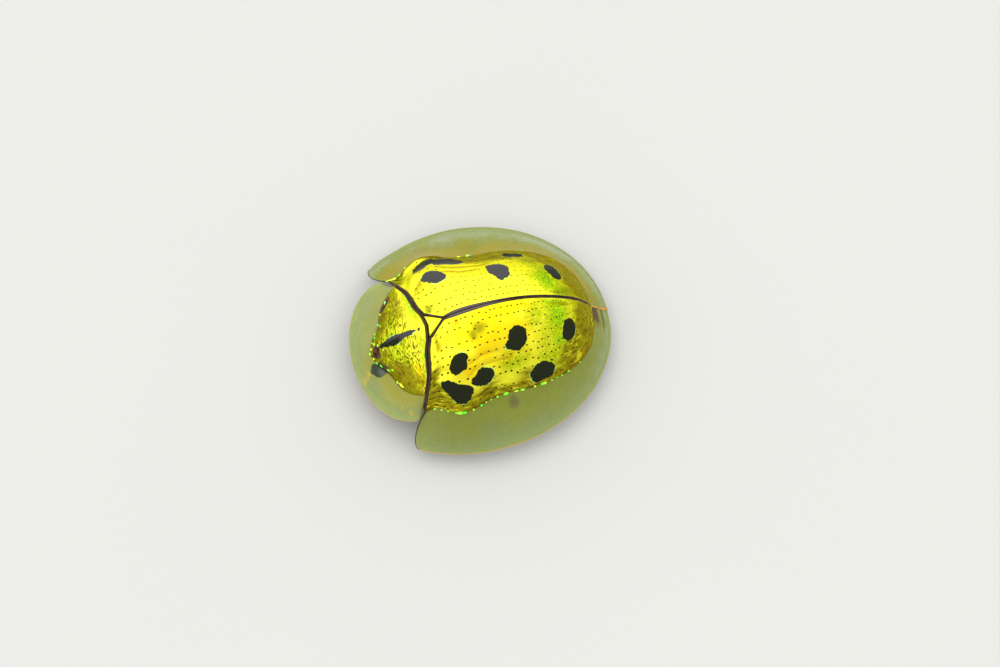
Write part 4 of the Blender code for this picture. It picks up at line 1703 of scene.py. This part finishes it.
def head():
    """Head capsule with the brow and the feelers' sockets."""
    capsule = lump(HEAD_CENTRE, HEAD_SIZES, 48, 28, head_shape)
    sockets = [lump((side * 0.2, -0.64, FLOOR + 0.44), (0.11, 0.09, 0.11)) for side in (-1, 1)]
    brow = lump((0, -0.6, FLOOR + 0.36), (0.28, 0.12, 0.12))
    return join(capsule, brow, *sockets)


def eye(side):
    """An eye, shaped as the left one."""
    return lump(EYE_CENTRE, EYE_SIZES, 32, 20)


def jaw_thickness(t):
    """The half-thickness of a jaw, which ends in a point."""
    return 0.055 * (1 - t**2) * min(1.0, 8 * t)


def palp_thickness(t):
    """The half-thickness of a jaw's feeler along its three segments."""
    return (0.03 + 0.008 * abs(sin(3 * pi * t))) * min(1.0, 10 * t, 6 * (1 - t))


def mouthparts():
    """Lip, two jaws and their feelers."""
    lip = lump(MOUTH_CENTRE + Vector((0, -0.04, 0.06)), (0.2, 0.13, 0.05))
    parts = []
    for side in SIDES.values():
        parts.append(tube(above_floor(JAW_ROUTE, side), jaw_thickness, 10, 12))
        parts.append(tube(above_floor(PALP_ROUTE, side), palp_thickness, 8, 18))
    return join(lip, *parts)


def antenna(side):
    """The left feeler: a stout first segment, a small second and nine more that thicken outward."""
    route = above_floor(ANTENNA_ROUTE)
    parts = []
    start = 0.0
    for number, length in enumerate(ANTENNA_SEGMENTS):
        end = start + length / sum(ANTENNA_SEGMENTS)
        wide = 0.075 if number == 0 else 0.05 + 0.03 * ease(3, 8, number)

        def radius(t, wide=wide, last=number == len(ANTENNA_SEGMENTS) - 1):
            swell = 0.72 + 0.28 * sin(pi * min(t * 0.75, 1.0))
            tip = min(1.0, 3.2 * (1 - t)) if last else min(1.0, 9 * (1 - t))
            return wide * swell * min(1.0, 7 * t) ** 0.5 * max(tip, 0) ** 0.6

        def along(t, start=start, end=end):
            return route(start + (end + 0.004 - start) * t)

        parts.append(tube(along, radius, 14, 12))
        start = end
    return join(*parts)


# Thorax and belly


def trunk_top(x, y):
    """The highest that the body reaches below the wing cases, at a place seen from above."""
    back = min(max((y - DISC_CENTRE.y) / TRUNK_INSIDE + DISC_CENTRE.y, SCUTELLUM_TIP), DISC_REAR - 0.1)
    share = (back - SCUTELLUM_TIP) / (DISC_REAR - SCUTELLUM_TIP)
    u = BESIDE_SCUTELLUM + (1 - BESIDE_SCUTELLUM) * share
    v = min(abs(x) / TRUNK_INSIDE / disc_edge(u).x, 1.0)
    height = disc_point(u, v).z
    return DISC_CENTRE.z + TRUNK_INSIDE * (height - DISC_CENTRE.z) - 0.04


def trunk(ends, half_width, belly, top, rings, sides=48):
    """A length of the body with its width, belly and top read along it, closed at its two ends."""
    start, end = ends

    def place(u, v):
        turn = 2 * pi * u
        row = v * (rings + 2)
        share = min(max((row - 1) / rings, 0.0), 1.0)
        y = start + (end - start) * share
        x = half_width(share) * cos(turn)
        up = sin(turn)
        if up >= 0:
            z = TRUNK_SIDE + (top(x, y) - TRUNK_SIDE) * up**0.6
        else:
            z = TRUNK_SIDE + (TRUNK_SIDE - belly(share, x)) * up
        closing = row < 0.5 or row > rings + 1.5
        return Vector((0, y, TRUNK_SIDE)) if closing else Vector((x, y, z))

    return sheet(sides, rings + 2, place)


def abdomen():
    """The belly in five plates, each with a soft rear edge that overlaps the next."""
    width = graph((0, 1.86), (0.4, 1.84), (0.7, 1.6), (0.9, 1.1), (1, 0.55))

    def belly(share, x):
        plate = (share * BELLY_PLATES) % 1
        step = 0.05 * plate - 0.05 * ease(0.93, 1.0, plate)
        return BELLY - 0.06 + step + 0.2 * share**4

    return trunk(ABDOMEN_ENDS, width, belly, trunk_top, 100)


def metathorax():
    """The broad rear of the thorax, with a groove along its middle."""
    width = graph((0, 1.5), (0.3, 1.84), (1, 1.86))

    def belly(share, x):
        return BELLY + 0.05 * hump(x, 0, 0.06) * ease(0.1, 0.3, share)

    return trunk(METATHORAX_ENDS, width, belly, trunk_top, 30, 96)


def mesothorax():
    """The narrow middle of the thorax, between the two shells."""
    width = graph((0, 1.0), (0.5, 1.3), (1, 1.35))
    return trunk(MESOTHORAX_ENDS, width, lambda share, x: BELLY, lambda x, y: 1.5 - 0.4 * x * x, 10)


def prothorax():
    """The front of the thorax, with the raised process between the front hips."""
    width = graph((0, 0.7), (0.5, 1.05), (1, 1.1))

    def belly(share, x):
        return BELLY - 0.05 * hump(x, 0, 0.22) * ease(0.1, 0.5, share)

    return trunk(PROTHORAX_ENDS, width, belly, lambda x, y: 0.9 - 0.3 * x * x + 0.5 * y, 24)


# Legs


def leg_line(which):
    """Hip, knee, heel and toe of a left leg."""
    heights = (HIP_HEIGHT, KNEE_HEIGHT, HEEL_HEIGHT, TOE_HEIGHT)
    return [Vector((x, y, FLOOR + z)) for (x, y), z in zip(LEGS[which], heights)]


def coxa(hip, knee):
    """The hip, a rounded knob with the small ring of the trochanter on its outer side."""
    out = (knee - hip).normalized()
    knob = lump(hip, (0.27, 0.22, 0.2), 28, 16)
    ring = lump(hip + out * 0.27 + Vector((0, 0, -0.03)), (0.1, 0.1, 0.09), 20, 12)
    return join(knob, ring)


def femur(hip, knee):
    """The thigh, thickest before its middle."""
    out = (knee - hip).normalized()
    thick = graph((0, 0.0), (0.05, 0.1), (0.4, 0.19), (0.75, 0.17), (0.95, 0.11), (1, 0.0))
    return tube(straight(hip + out * 0.26, knee), thick, 24, 36, 0.8)


def tibia(knee, heel):
    """The shin, slender at the knee and broader at its end."""
    down = (heel - knee).normalized()
    bow = (knee + heel) / 2 + Vector((0.03, 0, 0.03))
    thick = graph((0, 0.0), (0.04, 0.07), (0.5, 0.1), (0.9, 0.13), (0.97, 0.12), (1, 0.0))
    return tube(through(knee + down * 0.02, bow, heel), thick, 20, 32, 0.8)


def tarsus(heel, toe):
    """The foot: three pads, the third split in two, and the claw segment with its claws."""
    back = toe - heel
    back.z = 0
    length = back.length
    back.normalize()
    side = Vector((-back.y, back.x, 0))
    base = heel.copy()
    base.z = FLOOR

    def at(along, across, up):
        return base + back * (along * length) + side * across + Vector((0, 0, up))

    def pad(start, end, wide, across=0.0, height=0.07):
        thick = graph((0, 0.0), (0.08, wide * 0.5), (0.7, wide), (0.93, wide * 0.8), (1, 0.0))
        route = through(
            at(start, across * 0.4, height + 0.09), at((start + end) / 2, across, height + 0.02),
            at(end, across, height * 0.8),
        )
        return tube(route, thick, 18, 18, 0.55)

    parts = [pad(0.02, 0.34, 0.1, 0.0, 0.12), pad(0.27, 0.56, 0.12, 0.0, 0.1)]
    parts += [pad(0.46, 0.86, 0.09, sign * 0.085, 0.07) for sign in (-1, 1)]
    claw_base = through(at(0.56, 0, 0.17), at(0.75, 0, 0.17), at(0.96, 0, 0.12))
    claw_base_thickness = graph((0, 0.0), (0.06, 0.035), (0.8, 0.055), (0.95, 0.045), (1, 0))
    parts.append(tube(claw_base, claw_base_thickness, 14, 16))
    for sign in (-1, 1):
        claw = through(
            at(0.92, sign * 0.02, 0.12), at(1.02, sign * 0.07, 0.13), at(1.07, sign * 0.09, 0.04),
        )
        parts.append(tube(claw, lambda t: 0.022 * (1 - t**1.5) * min(1.0, 8 * t), 8, 12))
    return join(*parts)


# Stage


def lay_floor(scene):
    """The pale floor."""
    bm = bmesh.new()
    bmesh.ops.create_grid(bm, x_segments=1, y_segments=1, size=FLOOR_HALF_WIDTH)
    mesh = bpy.data.meshes.new("studio_floor")
    bm.to_mesh(mesh)
    bm.free()
    mesh.materials.append(studio_floor())
    floor = bpy.data.objects.new("studio_floor", mesh)
    scene.collection.objects.link(floor)


def light_surroundings(scene):
    """Soft white surroundings, brighter on one side."""
    world = bpy.data.worlds.new("studio")
    world.use_nodes = True
    tree = world.node_tree
    direction = add(tree, "ShaderNodeTexCoord", output="Generated")
    facing = vector(tree, "DOT_PRODUCT", direction, BRIGHT_SIDE.normalized())
    strength = facing.band(-0.6, 0.6, *SKY_STRENGTHS)
    plug(tree.nodes["Background"], {"Color": SKY_TONE, "Strength": strength})
    scene.world = world


def hang_key_lamp(scene):
    """One soft lamp that shines at the beetle."""
    key = bpy.data.lights.new("key", "AREA")
    key.shape = "DISK"
    key.size = KEY_SIZE
    key.energy = KEY_POWER
    lamp = bpy.data.objects.new("key", key)
    lamp.location = KEY_PLACE
    lamp.rotation_euler = (-KEY_PLACE).to_track_quat("-Z", "Y").to_euler()
    scene.collection.objects.link(lamp)


def set_camera(scene):
    """The camera, at the photograph's angle and framing."""
    eyepiece = bpy.data.cameras.new("camera")
    eyepiece.sensor_width = SENSOR_WIDTH_MM
    eyepiece.lens = SENSOR_WIDTH_MM * CAMERA_DISTANCE / PICTURE_WIDTH
    eyepiece.clip_start = CAMERA_NEAR
    camera = bpy.data.objects.new("camera", eyepiece)
    out = TO_CAMERA.normalized()
    right = PICTURE_UP.cross(out).normalized()
    basis = Matrix((right, out.cross(right), out)).transposed().to_4x4()
    camera.matrix_world = Matrix.Translation(LOOK_AT + out * CAMERA_DISTANCE) @ basis
    scene.collection.objects.link(camera)
    scene.camera = camera


# Operators


class BEETLE_OT_wing_cases(bpy.types.Operator):
    """Build the two golden, punctured wing cases"""

    bl_idname = "beetle.wing_cases"
    bl_label = "Wing Cases"

    def execute(self, context):
        looks = [wing_case_gold(), shell_inside()]
        both_sides("wing_case", wing_case, looks, ["elytron"], 1)
        both_sides("edge_grains", edge_grains, [grain_green()])
        return {"FINISHED"}


class BEETLE_OT_margins(bpy.types.Operator):
    """Build the clear margins of the wing cases and the pronotum"""

    bl_idname = "beetle.margins"
    bl_label = "Clear Margins"

    def execute(self, context):
        looks = [wing_case_horn()]
        both_sides("wing_case_margin", wing_case_margin, looks, ["elytron_margin"], 1)
        looks = [pronotum_horn()]
        stand("pronotum_rim", pronotum_margin(), looks, ["pronotum_margin"], 1)
        return {"FINISHED"}


class BEETLE_OT_pronotum(bpy.types.Operator):
    """Build the golden pronotum and scutellum"""

    bl_idname = "beetle.pronotum"
    bl_label = "Pronotum"

    def execute(self, context):
        looks = [pronotum_gold(), shell_inside()]
        stand("pronotum_plate", pronotum(), looks, ["pronotum"], 1)
        stand("pronotum_grains", pronotum_grains(), [grain_green()])
        looks = [wing_case_gold(), shell_inside()]
        stand("scutellum_plate", scutellum(), looks, ["scutellum"], 1)
        return {"FINISHED"}


class BEETLE_OT_seams(bpy.types.Operator):
    """Build the dark raised lines along the seams"""

    bl_idname = "beetle.seams"
    bl_label = "Seams"

    def execute(self, context):
        both_sides("seam_front", front_bead, [seam_brown()])
        both_sides("seam_suture", suture_bead, [suture_brown()])
        stand("seam_pronotum", pronotum_bead(), [seam_brown()])
        stand("seam_tail", tail_bead(), [seam_amber()])
        return {"FINISHED"}


class BEETLE_OT_head(bpy.types.Operator):
    """Build the head with its eyes, mouthparts and feelers"""

    bl_idname = "beetle.head"
    bl_label = "Head"

    def execute(self, context):
        stand("head_capsule", head(), [underside_brown()], ["head"])
        both_sides("faceted_eye", eye, [eye_black()], ["eye"])
        stand("lip_and_jaws", mouthparts(), [leg_amber()], ["mouthparts"])
        both_sides("feeler", antenna, [leg_amber()], ["antenna"])
        return {"FINISHED"}


class BEETLE_OT_trunk(bpy.types.Operator):
    """Build the plates of the thorax and the belly"""

    bl_idname = "beetle.trunk"
    bl_label = "Thorax and Belly"

    def execute(self, context):
        for name, make in (
            ("prothorax", prothorax), ("mesothorax", mesothorax), ("metathorax", metathorax),
            ("abdomen", abdomen),
        ):
            stand(f"{name}_plates", make(), [underside_brown()], [name])
        return {"FINISHED"}


class BEETLE_OT_legs(bpy.types.Operator):
    """Build the six legs, each in four pieces"""

    bl_idname = "beetle.legs"
    bl_label = "Legs"

    def execute(self, context):
        for which in LEGS:
            hip, knee, heel, toe = leg_line(which)
            for make, start, end in (
                (coxa, hip, knee), (femur, hip, knee), (tibia, knee, heel), (tarsus, heel, toe),
            ):
                piece = f"{which}_{make.__name__}"
                both_sides(piece, lambda side: make(start, end), [leg_amber()], [f"leg_{piece}"])
        return {"FINISHED"}


class BEETLE_OT_stage(bpy.types.Operator):
    """Build the pale floor, the soft light and the camera"""

    bl_idname = "beetle.stage"
    bl_label = "Stage"

    def execute(self, context):
        lay_floor(context.scene)
        light_surroundings(context.scene)
        hang_key_lamp(context.scene)
        set_camera(context.scene)
        context.scene.view_settings.view_transform = "Standard"
        return {"FINISHED"}


class BEETLE_PT_panel(bpy.types.Panel):
    """The beetle's sizes, colours and pieces"""

    bl_label = "Tortoise Beetle"
    bl_space_type = "VIEW_3D"
    bl_region_type = "UI"
    bl_category = "Beetle"

    def draw(self, context):
        for settings in (context.scene.beetle_sizes, context.scene.beetle_colours):
            for label in type(settings).__annotations__:
                self.layout.prop(settings, label)
        for operator in OPERATORS:
            self.layout.operator(operator.bl_idname)


OPERATORS = (
    BEETLE_OT_stage, BEETLE_OT_wing_cases, BEETLE_OT_margins, BEETLE_OT_pronotum, BEETLE_OT_seams,
    BEETLE_OT_head, BEETLE_OT_trunk, BEETLE_OT_legs,
)
CLASSES = (BeetleColours, BeetleSizes, *OPERATORS, BEETLE_PT_panel)


def register():
    """Add the beetle's settings, operators and panel to Blender."""
    for cls in CLASSES:
        bpy.utils.register_class(cls)
    bpy.types.Scene.beetle_colours = bpy.props.PointerProperty(type=BeetleColours)
    bpy.types.Scene.beetle_sizes = bpy.props.PointerProperty(type=BeetleSizes)


def unregister():
    """Take them out again."""
    del bpy.types.Scene.beetle_sizes
    del bpy.types.Scene.beetle_colours
    for cls in reversed(CLASSES):
        bpy.utils.unregister_class(cls)


def main():
    """Build the whole beetle on its stage."""
    register()
    bpy.ops.beetle.stage()
    bpy.ops.beetle.wing_cases()
    bpy.ops.beetle.margins()
    bpy.ops.beetle.pronotum()
    bpy.ops.beetle.seams()
    bpy.ops.beetle.head()
    bpy.ops.beetle.trunk()
    bpy.ops.beetle.legs()


if __name__ == "__main__":
    main()
